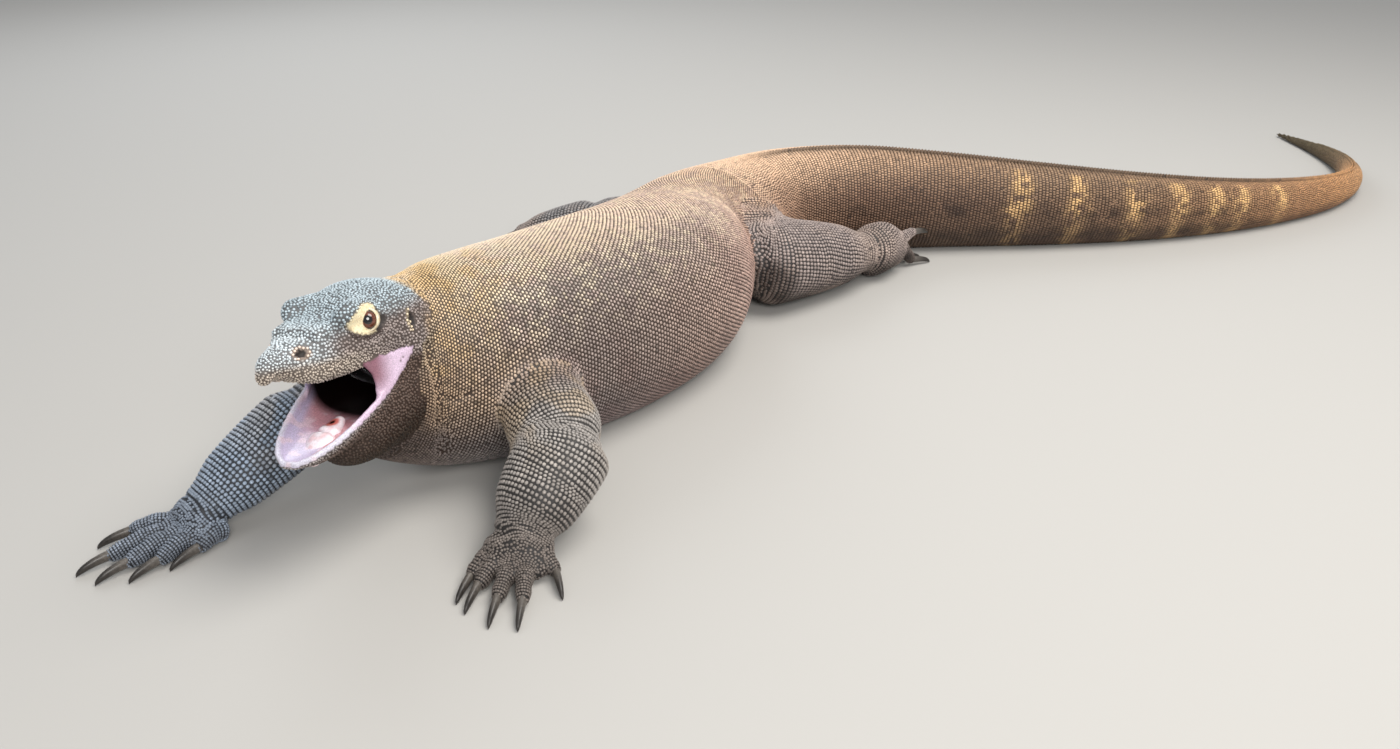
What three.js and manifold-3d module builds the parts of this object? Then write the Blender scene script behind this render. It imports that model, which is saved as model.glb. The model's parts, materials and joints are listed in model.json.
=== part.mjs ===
// A Komodo dragon lying on its belly with its head raised and its mouth wide open:
// a still, life-size display model. Millimetres. +X runs to the head end of the trunk,
// +Y to the animal's left and +Z up; the origin is on the floor under the middle of the belly.
import * as THREE from "three";
import Module from "manifold-3d";
import { mergeVertices } from "three/addons/utils/BufferGeometryUtils.js";

const wasm = await Module();
wasm.setup();

// ---------------------------------------------------------------- driving dimensions
const GAP = 0.3; // clearance between neighbouring pieces
const FLOOR = 0; // everything that reaches this level is flat there
const RAD = Math.PI / 180;

// Trunk stations from the shoulders to the vent: x, y, bottom, top, half width.
// A bottom below the floor is pressed flat there, as a soft belly is.
const TRUNK = [
  [185, 18, -6, 227, 103],
  [120, 37, -16, 221, 114],
  [30, 57, -24, 211, 131],
  [-70, 68, -24, 197, 141],
  [-160, 60, -18, 184, 129],
  [-240, 43, -12, 172, 107],
  [-320, 39, -10, 166, 93],
];
// Neck stations from the back of the skull to the shoulders, in the same columns.
const NECK = [
  [318, -20, 52, 223, 56],
  [285, -14, 30, 229, 69],
  [245, -2, 10, 231, 85],
];
// Tail stations: x, y, height, half width. It bends to the animal's left and curls back at its end.
const TAIL_PRESS = 0.05; // how far below the floor its bottom would reach, as a share of its height
const TAIL = [
  [-400, 62, 162, 82],
  [-485, 114, 162, 77],
  [-563, 210, 158, 71],
  [-629, 338, 144, 62],
  [-694, 476, 126, 53],
  [-771, 616, 106, 44],
  [-858, 738, 87, 36],
  [-954, 838, 71, 30],
  [-1062, 918, 57, 25],
  [-1174, 962, 45, 20],
  [-1290, 960, 34, 15.5],
  [-1400, 920, 23, 11],
  [-1515, 852, 9, 4],
];

// Head frame: origin at the tip of the snout, +X forward, +Z up from the line of the lips.
const HEAD = { at: [460, -10, 208], yaw: 4.1, pitch: 13, roll: 6.5 };
// Skull stations: x, bottom, top, half width.
const SKULL = [
  [-184, -4, 56, 50],
  [-165, -6, 62, 55],
  [-140, -8, 65, 54],
  [-118, -11, 62, 49],
  [-98, -14, 55, 43],
  [-78, -15, 45, 39],
  [-55, -16, 39, 35],
  [-34, -15, 35, 29.5],
  [-17, -4, 30, 19.5],
  [-5, 2, 23, 12],
  [2, -1, 16, 8],
];
const SNOUT_TIP = [8, -3, 7, 4.5];
const EYE = { x: -96, y: 35.5, z: 35, radius: 9.5 };

// Lower jaw: its own frame at the hinge, dropped open from the head's.
const JAW = { hinge: [-138, 0, -6], open: 29.5 };
// Jaw stations: x, bottom, lip, half width.
const CHIN = [
  [-44, -56, 4, 50],
  [-18, -62, 22, 53],
  [8, -60, 14, 52],
  [40, -48, 2, 49],
  [80, -31, 0, 44],
  [112, -23, 0, 36],
  [134, -15, 0, 25],
  [146, -8, -1, 12],
];
// The open trough in the jaw: from and to count its stations, bed is the thickness under it, wall
// the thickness beside it, and clear how far its cutter reaches above the lip.
const TROUGH = { from: 1.6, to: CHIN.length - 1.35, bed: 11, wall: 7, clear: 40 };
// Swollen throat under the jaw, in the jaw's frame: middle and radii of each swelling.
const POUCHES = [
  { x: 22, z: -46, radii: [80, 51, 36] },
  { x: -30, z: -60, radii: [66, 54, 42] },
];
const BROW = { x: -91, y: 28.5, z: 43.5, long: 25, wide: 12, high: 13 };
const TONGUE = { from: 70, to: 122, halfWidth: 14, height: 12, floor: -22, root: 12 };

// Limbs: joints in the part's frame with the half thickness at each, and the way the hand or foot
// points. Each digit: its root ahead of and to the left of the palm's middle, its heading from the
// way the hand points, its length, and how far its end is lifted. raised lifts the sole's root, and
// follow is how far a claw turns with its digit.
const ARMS = {
  left: {
    shoulder: [202, 84, 100], elbow: [283, 170, 80], wrist: [360, 163, 32],
    thick: [40, 49, 35], turn: 20, palm: 18, raised: 0, follow: 0.45,
    digits: [[-8, -25, -26, 33, 0], [-1, -15, -22, 38, 0], [7, -3, -6, 44, 0], [6, 10, 7, 47, 0], [-12, 15, 46, 32, 0]],
  },
  right: {
    shoulder: [230, -60, 104], elbow: [338, -112, 78], wrist: [446, -146, 30],
    thick: [40, 43, 31], turn: -20, palm: 18, raised: 0, follow: 0.45,
    digits: [[-19, 25, 16, 28, 0], [2, 16, 12, 41, 0], [10, 3, 4, 55, 0], [10, -10, -6, 63, 0], [5, -21, -28, 43, 0]],
  },
};
const LEGS = {
  left: {
    hip: [-340, 80, 84], knee: [-281, 160, 64], ankle: [-422, 268, 46],
    thick: [62, 69, 38], turn: 160, palm: 52, raised: 34, follow: 1,
    digits: [[10, -20, -8, 30, 48], [16, -8, -24, 34, 0], [14, 4, -16, 36, 0], [6, 14, -8, 34, 0], [-6, 20, 12, 28, 0]],
  },
  right: {
    hip: [-336, -20, 72], knee: [-322, -140, 58], ankle: [-292, -242, 34],
    thick: [50, 45, 28], turn: -22, palm: 44, raised: 0, follow: 0.8,
    digits: [[2, 26, 22, 34, 0], [18, 20, 12, 50, 0], [26, 6, 5, 60, 0], [28, -8, -5, 66, 0], [10, -28, -34, 52, 0]],
  },
};
const DIGIT = { root: 9.8, tip: 7, arch: 13, tipHeight: 10, knuckle: 4 };
// The palm: its width as a share of the wrist's, its height, and how far it reaches past its middle.
const PALM = { wide: 0.98, height: 32, reach: 0.5 };
// How far a limb segment narrows at its first and last ring, and how deep it is for its width.
const SEGMENT = { first: 0.62, last: 0.72, flat: 0.9, steps: 6 };
const CLAW = { length: 35, root: 5.3, tip: 0.5 };

// ---------------------------------------------------------------- materials
const finish = (color, roughness) => new THREE.MeshStandardMaterial({ color, roughness, metalness: 0 });
const HIDE = finish(0x8c7866, 0.7);
const SLATE = finish(0x4e5054, 0.65);
const HEAD_HIDE = finish(0x6f767a, 0.62);
const HORN = finish(0x3a3836, 0.35);
const MOUTH = finish(0xc9878c, 0.3);
const EYEBALL = finish(0x2b1a12, 0.1);

// ---------------------------------------------------------------- curves and lofts
const mix = (a, b, t) => a + (b - a) * t;

// Rows of numbers, read at a fractional row by a Catmull-Rom curve.
function rowAt(rows, t) {
  const last = rows.length - 1;
  const i = Math.min(Math.floor(t), last - 1);
  const f = t - i;
  const mirror = (a, b) => a.map((v, k) => 2 * v - b[k]);
  const p1 = rows[i];
  const p2 = rows[i + 1];
  const p0 = i > 0 ? rows[i - 1] : mirror(p1, p2);
  const p3 = i + 2 <= last ? rows[i + 2] : mirror(p2, p1);
  return p1.map((v, k) => {
    const a = p2[k] - p0[k];
    const b = 2 * p0[k] - 5 * v + 4 * p2[k] - p3[k];
    const c = 3 * v - p0[k] - 3 * p2[k] + p3[k];
    return v + 0.5 * f * (a + f * (b + f * c));
  });
}

function resample(rows, from, to, steps) {
  return Array.from({ length: steps + 1 }, (_, k) => rowAt(rows, mix(from, to, k / steps)));
}

const tangentsOf = (centre) =>
  centre.map((c, i) => {
    const ahead = centre[Math.min(i + 1, centre.length - 1)];
    const behind = centre[Math.max(i - 1, 0)];
    return ahead.clone().sub(behind).normalize();
  });

// A closed loft. Each ring: centre, half width, height above and depth below the centre.
function loft(rings, { sides = 16, power = 2, grow = 0, trimEnd = 0, floor = true } = {}) {
  const centre = rings.map((r) => r.centre.clone());
  const tangent = rings[0].tangent ? rings.map((r) => r.tangent) : tangentsOf(centre);
  centre[0].addScaledVector(tangent[0], -grow);
  centre.at(-1).addScaledVector(tangent.at(-1), grow - trimEnd);
  const up = new THREE.Vector3(0, 0, 1);
  const points = [];
  rings.forEach((ring, i) => {
    const side = up.clone().cross(tangent[i]).normalize();
    const rise = tangent[i].clone().cross(side);
    for (let k = 0; k < sides; k++) {
      const a = (2 * Math.PI * k) / sides;
      const c = Math.sign(Math.cos(a)) * Math.abs(Math.cos(a)) ** (2 / power);
      const s = Math.sign(Math.sin(a)) * Math.abs(Math.sin(a)) ** (2 / power);
      const height = (s > 0 ? ring.above : ring.below) + grow;
      const p = centre[i].clone();
      p.addScaledVector(side, c * (ring.half + grow)).addScaledVector(rise, s * height);
      if (floor) p.z = Math.max(p.z, FLOOR);
      points.push(p);
    }
  });
  const ends = [centre[0], centre.at(-1)];
  if (floor) ends.forEach((e) => (e.z = Math.max(e.z, FLOOR)));
  points.push(...ends);
  const index = [];
  const at = (i, k) => i * sides + (k % sides);
  const tail = rings.length - 1;
  for (let k = 0; k < sides; k++) {
    for (let i = 0; i < tail; i++) {
      index.push(at(i, k), at(i, k + 1), at(i + 1, k + 1), at(i, k), at(i + 1, k + 1), at(i + 1, k));
    }
    index.push(at(0, k + 1), at(0, k), rings.length * sides);
    index.push(at(tail, k), at(tail, k + 1), rings.length * sides + 1);
  }
  const geometry = new THREE.BufferGeometry().setFromPoints(points);
  geometry.setIndex(index);
  return geometry;
}

// ---------------------------------------------------------------- solids
function solidOf(geometry) {
  const bare = geometry.clone();
  bare.deleteAttribute("normal");
  bare.deleteAttribute("uv");
  const merged = mergeVertices(bare, 1e-4);
  return new wasm.Manifold(
    new wasm.Mesh({
      numProp: 3,
      vertProperties: new Float32Array(merged.attributes.position.array),
      triVerts: new Uint32Array(merged.index.array),
    }),
  );
}

const largest = (solid) => solid.decompose().reduce((a, b) => (b.volume() > a.volume() ? b : a));

function geometryOf(solid) {
  const mesh = solid.getMesh();
  const geometry = new THREE.BufferGeometry();
  geometry.setAttribute("position", new THREE.BufferAttribute(new Float32Array(mesh.vertProperties), 3));
  geometry.setIndex(new THREE.BufferAttribute(new Uint32Array(mesh.triVerts), 1));
  return geometry;
}

const cut = (solid, ...tools) => largest(tools.reduce((rest, tool) => rest.subtract(tool), solid));
const joined = (solids) => solids.reduce((a, b) => a.add(b));

// ---------------------------------------------------------------- body, neck and tail
// A ring whose widest level lies a share of the way from its foot to its top.
const ringOf = ([x, y, bottom, top, half], widest, foot = bottom) => {
  const z = mix(foot, top, widest);
  return { centre: new THREE.Vector3(x, y, z), half, above: top - z, below: z - bottom };
};

const tailStations = TAIL.map(([x, y, height, half]) => [x, y, -TAIL_PRESS * height, height, half]);
const BODY = [...NECK, ...TRUNK, ...tailStations];
const PER_STATION = 2; // rings from one station to the next
const bodyRings = resample(BODY, 0, BODY.length - 1, (BODY.length - 1) * PER_STATION).map((row) =>
  ringOf(row, 0.45, Math.max(row[2], FLOOR)),
);
tangentsOf(bodyRings.map((r) => r.centre)).forEach((tangent, i) => (bodyRings[i].tangent = tangent));
const NECK_END = 7;
const TRUNK_END = 19;
const TAIL_CUTS = [TRUNK_END, TRUNK_END + 5, TRUNK_END + 11, TRUNK_END + 17, bodyRings.length - 1];

function bodyLength(from, to, options) {
  return solidOf(loft(bodyRings.slice(from, to + 1), { sides: 24, power: 2.2, ...options }));
}
const neckSolid = (grow = 0) => bodyLength(0, NECK_END, { grow, trimEnd: GAP });
const trunkSolid = (grow = 0) => bodyLength(NECK_END, TRUNK_END, { grow, trimEnd: GAP });
const tailSolid = (n, grow = 0) => bodyLength(TAIL_CUTS[n], TAIL_CUTS[n + 1], { grow, trimEnd: GAP });

// ---------------------------------------------------------------- head
const headPlace = new THREE.Matrix4().compose(
  new THREE.Vector3(...HEAD.at),
  new THREE.Quaternion().setFromEuler(new THREE.Euler(HEAD.roll * RAD, -HEAD.pitch * RAD, HEAD.yaw * RAD, "ZYX")),
  new THREE.Vector3(1, 1, 1),
);
const jawPlace = headPlace.clone().multiply(
  new THREE.Matrix4().makeTranslation(...JAW.hinge).multiply(new THREE.Matrix4().makeRotationY(JAW.open * RAD)),
);

// A ring in the head's or the jaw's own frame.
const boneRing = ([x, bottom, top, half], widest) => ringOf([x, 0, bottom, top, half], widest);

function browSolid(side, grow) {
  const dome = new THREE.SphereGeometry(1, 10, 6);
  dome.scale(BROW.long + grow, BROW.wide + grow, BROW.high + grow);
  dome.translate(BROW.x, side * BROW.y, BROW.z);
  return solidOf(dome.applyMatrix4(headPlace));
}

function skullSolid(grow = 0) {
  const rows = resample([...SKULL, SNOUT_TIP], 0, SKULL.length, 14);
  const shape = loft(rows.map((row) => boneRing(row, 0.3)), { sides: 20, power: 2.5, grow, floor: false });
  return joined([solidOf(shape.applyMatrix4(headPlace)), browSolid(1, grow), browSolid(-1, grow)]);
}

function pouchSolid({ x, z, radii }, grow) {
  const dome = new THREE.SphereGeometry(1, 16, 10);
  dome.scale(...radii.map((r) => r + grow));
  dome.translate(x, 0, z);
  return solidOf(dome.applyMatrix4(jawPlace));
}

function jawShape(grow = 0) {
  const rows = resample(CHIN, 0, CHIN.length - 1, 12).map((row) => boneRing(row, 0.72));
  const jaw = solidOf(loft(rows, { sides: 20, power: 2.6, grow, floor: false }).applyMatrix4(jawPlace));
  return joined([jaw, ...POUCHES.map((pouch) => pouchSolid(pouch, grow))]);
}

function troughSolid(grow = 0) {
  const rows = resample(CHIN, TROUGH.from, TROUGH.to, 9).map(([x, bottom, lip, half]) =>
    boneRing([x, bottom + TROUGH.bed, lip + TROUGH.clear, half - TROUGH.wall], 0.3),
  );
  return solidOf(loft(rows, { sides: 16, power: 3, grow, floor: false }).applyMatrix4(jawPlace));
}

const jawSolid = (grow = 0) => jawShape(grow).subtract(troughSolid(-grow));

function tongueSolid() {
  const rows = Array.from({ length: 9 }, (_, k) => {
    const t = k / 8;
    const swell = Math.max(Math.sin(Math.PI * t) ** 0.6, 0.12);
    const x = mix(TONGUE.from, TONGUE.to, t);
    const top = TONGUE.floor + TONGUE.height * swell;
    return boneRing([x, TONGUE.floor - TONGUE.root, top, TONGUE.halfWidth * swell], 0.5);
  });
  return solidOf(loft(rows, { sides: 14, floor: false }).applyMatrix4(jawPlace));
}

function eyeSolid(side, grow = 0) {
  const ball = new THREE.SphereGeometry(EYE.radius + grow, 12, 8);
  ball.translate(EYE.x, side * EYE.y, EYE.z);
  return solidOf(ball.applyMatrix4(headPlace));
}

// ---------------------------------------------------------------- limbs
const vec = (p) => new THREE.Vector3(...p);

// A limb segment between two joints, fullest a little past its upper end.
function segmentSolid(from, to, thickFrom, thickTo, { grow = 0, over = 0.35, swell = 0.08 } = {}) {
  const a = vec(from);
  const b = vec(to);
  const axis = b.clone().sub(a);
  const start = a.clone().addScaledVector(axis.clone().normalize(), -thickFrom * over);
  const { first, last, flat, steps } = SEGMENT;
  const rings = Array.from({ length: steps + 1 }, (_, k) => {
    const t = k / steps;
    const round = k === 0 ? first : k === steps ? last : 1;
    const r = mix(thickFrom, thickTo, t) * (1 + swell * Math.sin(Math.PI * t)) * round;
    return { centre: start.clone().lerp(b, t), half: r, above: r * flat, below: r * flat };
  });
  return solidOf(loft(rings, { sides: 14, grow }));
}

const heading = (degrees) => new THREE.Vector3(Math.cos(degrees * RAD), Math.sin(degrees * RAD), 0);

// The root, the end and the claw's way of each digit of a hand or foot.
function digitLines(limb, palm) {
  const ahead = heading(limb.turn);
  const left = heading(limb.turn + 90);
  return limb.digits.map(([forward, across, spread, length, lift]) => {
    const root = palm.clone().addScaledVector(ahead, forward).addScaledVector(left, across);
    const end = root.clone().addScaledVector(heading(limb.turn + spread), length);
    root.z = DIGIT.arch + limb.raised;
    end.z = DIGIT.tipHeight + lift;
    return { root, end, lift, way: heading(limb.turn + spread * limb.follow) };
  });
}

function digitSolid({ root, end, lift }, grow) {
  const steps = 4;
  const rings = Array.from({ length: steps + 1 }, (_, k) => {
    const t = k / steps;
    const r = mix(DIGIT.root, DIGIT.tip, t) * (k === steps ? 0.8 : 1);
    const centre = root.clone().lerp(end, t);
    centre.z += DIGIT.knuckle * Math.sin(Math.PI * t);
    return { centre, half: r, above: r, below: lift > 0 ? r : Math.min(centre.z, r + DIGIT.knuckle) };
  });
  return solidOf(loft(rings, { sides: 6, grow }));
}

function palmSolid(from, to, { turn, raised }, half, height, grow) {
  const a = vec(from);
  const b = to.clone().addScaledVector(heading(turn), half * PALM.reach);
  const rows = [
    [0, a.z, height * 1.05 + raised * 0.5, half * 0.9],
    [0.35, mix(a.z, 14, 0.6) + raised * 0.5, height + raised * 0.8, half],
    [0.7, 13 + raised * 0.8, height * 0.8 + raised, half * (raised > 0 ? 0.9 : 1.04)],
    [1, 10 + raised * 0.8, height * 0.5 + raised * 0.8, half * 0.8],
  ];
  const rings = resample(rows, 0, rows.length - 1, 5).map(([t, z, high, wide]) => {
    const centre = a.clone().lerp(b, t);
    centre.z = z;
    return { centre, half: wide, above: high * 0.62, below: Math.max(z - raised * 0.1, high * 0.5) };
  });
  return solidOf(loft(rings, { sides: 10, grow }));
}

function clawSolid({ way, end, lift }, grow = 0) {
  const steps = 4;
  const start = end.clone().addScaledVector(way, -3);
  const rings = Array.from({ length: steps + 1 }, (_, k) => {
    const t = k / steps;
    const r = mix(CLAW.root, CLAW.tip, t ** 0.9);
    const centre = start.clone().addScaledVector(way, CLAW.length * Math.sin((t * Math.PI) / 2 * 0.92));
    centre.z = lift + mix(DIGIT.tipHeight, CLAW.tip + 0.6, 1 - Math.cos((t * Math.PI) / 2));
    return { centre, half: r * 0.8, above: r, below: r };
  });
  return solidOf(loft(rings, { sides: 6, grow }));
}

// Upper length, lower length, hand or foot and claws of one limb.
function limbSolids(limb, joints, clearOf) {
  const [a, b, c] = joints.map((joint) => limb[joint]);
  const [thickA, thickB, thickC] = limb.thick;
  const palm = vec(c).setZ(0).addScaledVector(heading(limb.turn), limb.palm);
  const lines = digitLines(limb, palm);
  const foot = (grow) =>
    joined([
      palmSolid(c, palm, limb, thickC * PALM.wide, PALM.height, grow),
      ...lines.map((line) => digitSolid(line, grow)),
    ]);
  const lower = (grow) => segmentSolid(b, c, thickB, thickC, { grow, swell: 0.1 });
  const upper = (grow) => segmentSolid(a, b, thickA, thickB * 0.95, { grow, over: 0.2 });
  return {
    upper: cut(upper(0), ...clearOf, lower(GAP)),
    lower: cut(lower(0), ...clearOf),
    foot: cut(foot(0), lower(GAP), ...clearOf),
    claws: lines.map((line) => cut(clawSolid(line), foot(GAP))),
  };
}

// ---------------------------------------------------------------- the object
const dragon = new THREE.Group();
const add = (name, solid, material) => {
  const mesh = new THREE.Mesh(geometryOf(solid), material);
  mesh.name = name;
  dragon.add(mesh);
};

const skullGrown = skullSolid(GAP);
const jawGrown = jawShape(GAP);
const neckGrown = neckSolid(GAP);
const trunkGrown = trunkSolid(GAP);

add("head", cut(skullSolid(), eyeSolid(1, GAP), eyeSolid(-1, GAP)), HEAD_HIDE);
add("eye_left", eyeSolid(1), EYEBALL);
add("eye_right", eyeSolid(-1), EYEBALL);
add("lower_jaw", cut(jawSolid(), skullGrown, neckGrown), HEAD_HIDE);
add("tongue", cut(tongueSolid(), jawSolid(GAP)), MOUTH);
add("neck", cut(neckSolid(), skullGrown), HIDE);
add("trunk", trunkSolid(), HIDE);
for (let n = 0; n < TAIL_CUTS.length - 1; n++) {
  add(["tail_base", "tail_second", "tail_third", "tail_end"][n], tailSolid(n), HIDE);
}

const FORE = { joints: ["shoulder", "elbow", "wrist"], names: ["upper_arm", "forearm", "hand"] };
const HIND = { joints: ["hip", "knee", "ankle"], names: ["thigh", "shank", "foot"] };
const tailGrown = [0, 1].map((n) => tailSolid(n, GAP));
for (const side of ["left", "right"]) {
  for (const [kind, limb] of [[FORE, ARMS[side]], [HIND, LEGS[side]]]) {
    const clearOf = kind === FORE ? [trunkGrown, neckGrown, jawGrown] : [trunkGrown, ...tailGrown];
    const made = limbSolids(limb, kind.joints, clearOf);
    add(`${kind.names[0]}_${side}`, made.upper, kind === FORE ? SLATE : HIDE);
    add(`${kind.names[1]}_${side}`, made.lower, SLATE);
    add(`${kind.names[2]}_${side}`, made.foot, SLATE);
    made.claws.forEach((claw, i) => add(`claw_${kind.names[2]}_${side}_${i + 1}`, claw, HORN));
  }
}

export default dragon;
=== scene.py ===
"""A Komodo dragon on its belly with its mouth wide open: a still, life-size display model.

One skin replaces the flesh pieces of the frame. It is the level surface of a field that joins
lofts along the body, head and limbs, and rows of separate scales lie over it. Eyes, lids, tongue
and claws are pieces of their own. Lengths are in millimetres, in the frame of the part, until a
mesh is made.
"""

from __future__ import annotations

import itertools
import json
import logging
import math
from dataclasses import dataclass, field, replace
from enum import Enum, IntEnum

import bmesh
import bpy
import numpy as np
import openvdb
from bpy.types import ID, Material, Mesh, Node, NodeTree, Object
from mathutils import Matrix, Vector, kdtree

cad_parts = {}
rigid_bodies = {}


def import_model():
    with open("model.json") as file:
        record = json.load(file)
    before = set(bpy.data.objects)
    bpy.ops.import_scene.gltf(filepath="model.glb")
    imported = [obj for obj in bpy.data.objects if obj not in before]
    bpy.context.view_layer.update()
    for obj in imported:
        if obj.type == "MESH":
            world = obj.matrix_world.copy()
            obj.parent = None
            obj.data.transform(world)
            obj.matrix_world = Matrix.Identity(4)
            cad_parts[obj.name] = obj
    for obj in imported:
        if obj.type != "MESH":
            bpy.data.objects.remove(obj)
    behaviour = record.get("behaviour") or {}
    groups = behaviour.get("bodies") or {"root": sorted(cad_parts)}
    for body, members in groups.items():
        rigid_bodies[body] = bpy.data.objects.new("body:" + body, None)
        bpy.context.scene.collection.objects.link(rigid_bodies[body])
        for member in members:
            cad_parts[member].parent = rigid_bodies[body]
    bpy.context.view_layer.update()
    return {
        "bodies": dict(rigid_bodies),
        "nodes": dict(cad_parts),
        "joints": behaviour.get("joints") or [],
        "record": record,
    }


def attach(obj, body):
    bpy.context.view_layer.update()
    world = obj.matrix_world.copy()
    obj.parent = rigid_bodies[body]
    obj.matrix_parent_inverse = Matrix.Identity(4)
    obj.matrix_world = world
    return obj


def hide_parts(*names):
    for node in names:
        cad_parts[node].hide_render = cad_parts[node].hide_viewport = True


log = logging.getLogger("dragon")
Array = np.ndarray

MM = 0.001  # metres in a millimetre
BODY_NAME = "root"
UV_NAME = "OFBake"
COAT_DEPTH = 1.1  # how far the skin lies inside the outer shape
FAR = 60.0  # value of the field away from every part
REACH = 34.0  # how far round a part the field is worked out


class Side(Enum):
    """The two sides of the animal."""

    LEFT = 1
    RIGHT = -1

    @property
    def word(self) -> str:
        """The side's name in piece and node names."""
        return self.name.lower()


class Part(IntEnum):
    """What a point of the skin belongs to."""

    NONE = 0
    BODY = 1
    SKULL = 2
    JAW = 3
    MOUTH = 4
    ARM_LEFT = 5
    ARM_RIGHT = 6
    LEG_LEFT = 7
    LEG_RIGHT = 8
    HAND_LEFT = 9
    HAND_RIGHT = 10
    FOOT_LEFT = 11
    FOOT_RIGHT = 12
    HOLE = 13


# ------------------------------------------------------------------ numbers and colours
def row_at(rows: Array, places: Array) -> Array:
    """Reads rows of numbers at fractional places by a Catmull-Rom curve.

    Args:
        rows: One station in each row.
        places: Fractional row numbers.

    Returns:
        One row for each place.
    """
    rows = np.asarray(rows, float)
    last = len(rows) - 1
    first = np.clip(np.floor(places).astype(int), 0, last - 1)
    f = (places - first)[:, None]
    padded = np.vstack([2 * rows[0] - rows[1], rows, 2 * rows[-1] - rows[-2]])
    p0, p1, p2, p3 = (padded[first + k] for k in range(4))
    slope = p2 - p0
    bend = 2 * p0 - 5 * p1 + 4 * p2 - p3
    twist = 3 * p1 - p0 - 3 * p2 + p3
    return p1 + 0.5 * f * (slope + f * (bend + f * twist))


def smooth_min(a: Array, b: Array, width: float) -> Array:
    """The lower of two fields, rounded where they are within width of each other."""
    if width <= 0:
        return np.minimum(a, b)
    near = np.maximum(width - np.abs(a - b), 0) / width
    return np.minimum(a, b) - near * near * width / 4


def ramp(low: float, high: float, value: Array) -> Array:
    """0 below low, 1 above high and a smooth rise between them."""
    t = np.clip((value - low) / (high - low), 0, 1)
    return t * t * (3 - 2 * t)


def bump(value: Array, centre: float, width: float) -> Array:
    """1 at the centre, falling to nothing within about two widths."""
    return np.exp(-(((value - centre) / width) ** 2))


def cell_noise(points: Array, size: float, seed: int) -> Array:
    """Smooth noise from 0 to 1 on a lattice.

    Args:
        points: Places, three columns.
        size: The lattice's step.
        seed: Number of the pattern.

    Returns:
        One value for each point.
    """
    place = points / size
    base = np.floor(place).astype(np.int64)
    f = place - base
    f = f * f * (3 - 2 * f)
    total = np.zeros(len(points))
    for corner in itertools.product((0, 1), repeat=3):
        i = base + np.array(corner)
        mixed = (i[:, 0] * 73856093) ^ (i[:, 1] * 19349663) ^ (i[:, 2] * 83492791) ^ (seed * 2654435)
        mixed = ((mixed ^ (mixed >> 13)) * 1274126177) & 0xFFFFFFFF
        value = ((mixed ^ (mixed >> 16)) & 0xFFFF) / 65535
        weight = np.prod(np.where(corner, f, 1 - f), axis=1)
        total += weight * value
    return total


def linear(red: int, green: int, blue: int) -> Array:
    """A linear colour from screen values of 0 to 255."""
    screen = np.array([red, green, blue]) / 255
    return np.where(screen < 0.04045, screen / 12.92, ((screen + 0.055) / 1.055) ** 2.4)


def mix(a: Array, b: Array, share: Array) -> Array:
    """Rows of a turned into b by a share for each row."""
    return a + (b - a) * np.asarray(share)[:, None]


def plain(tone: tuple, points: Array) -> Array:
    """One screen colour as a linear colour for each point."""
    return np.tile(linear(*tone), (len(points), 1))


def painted(colour: Array, *layers: tuple[tuple, Array]) -> Array:
    """Linear colours with screen tones laid over them in order, each by its share."""
    for tone, share in layers:
        colour = mix(colour, linear(*tone), share)
    return colour


def norms(rows: Array) -> Array:
    """The length of each row."""
    return np.linalg.norm(rows, axis=1)


def rotation(axis: str, degrees: float) -> Array:
    """A turn about one axis as a 3 by 3 matrix."""
    return np.array(Matrix.Rotation(math.radians(degrees), 3, axis))


@dataclass(frozen=True)
class Frame:
    """A turned and moved frame within the part's."""

    origin: Array
    axes: Array

    def inward(self, points: Array) -> Array:
        """Points of the part's frame in this one."""
        return (points - self.origin) @ self.axes

    def outward(self, points: Array) -> Array:
        """Points of this frame in the part's."""
        return points @ self.axes.T + self.origin


WORLD = Frame(np.zeros(3), np.eye(3))


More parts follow.
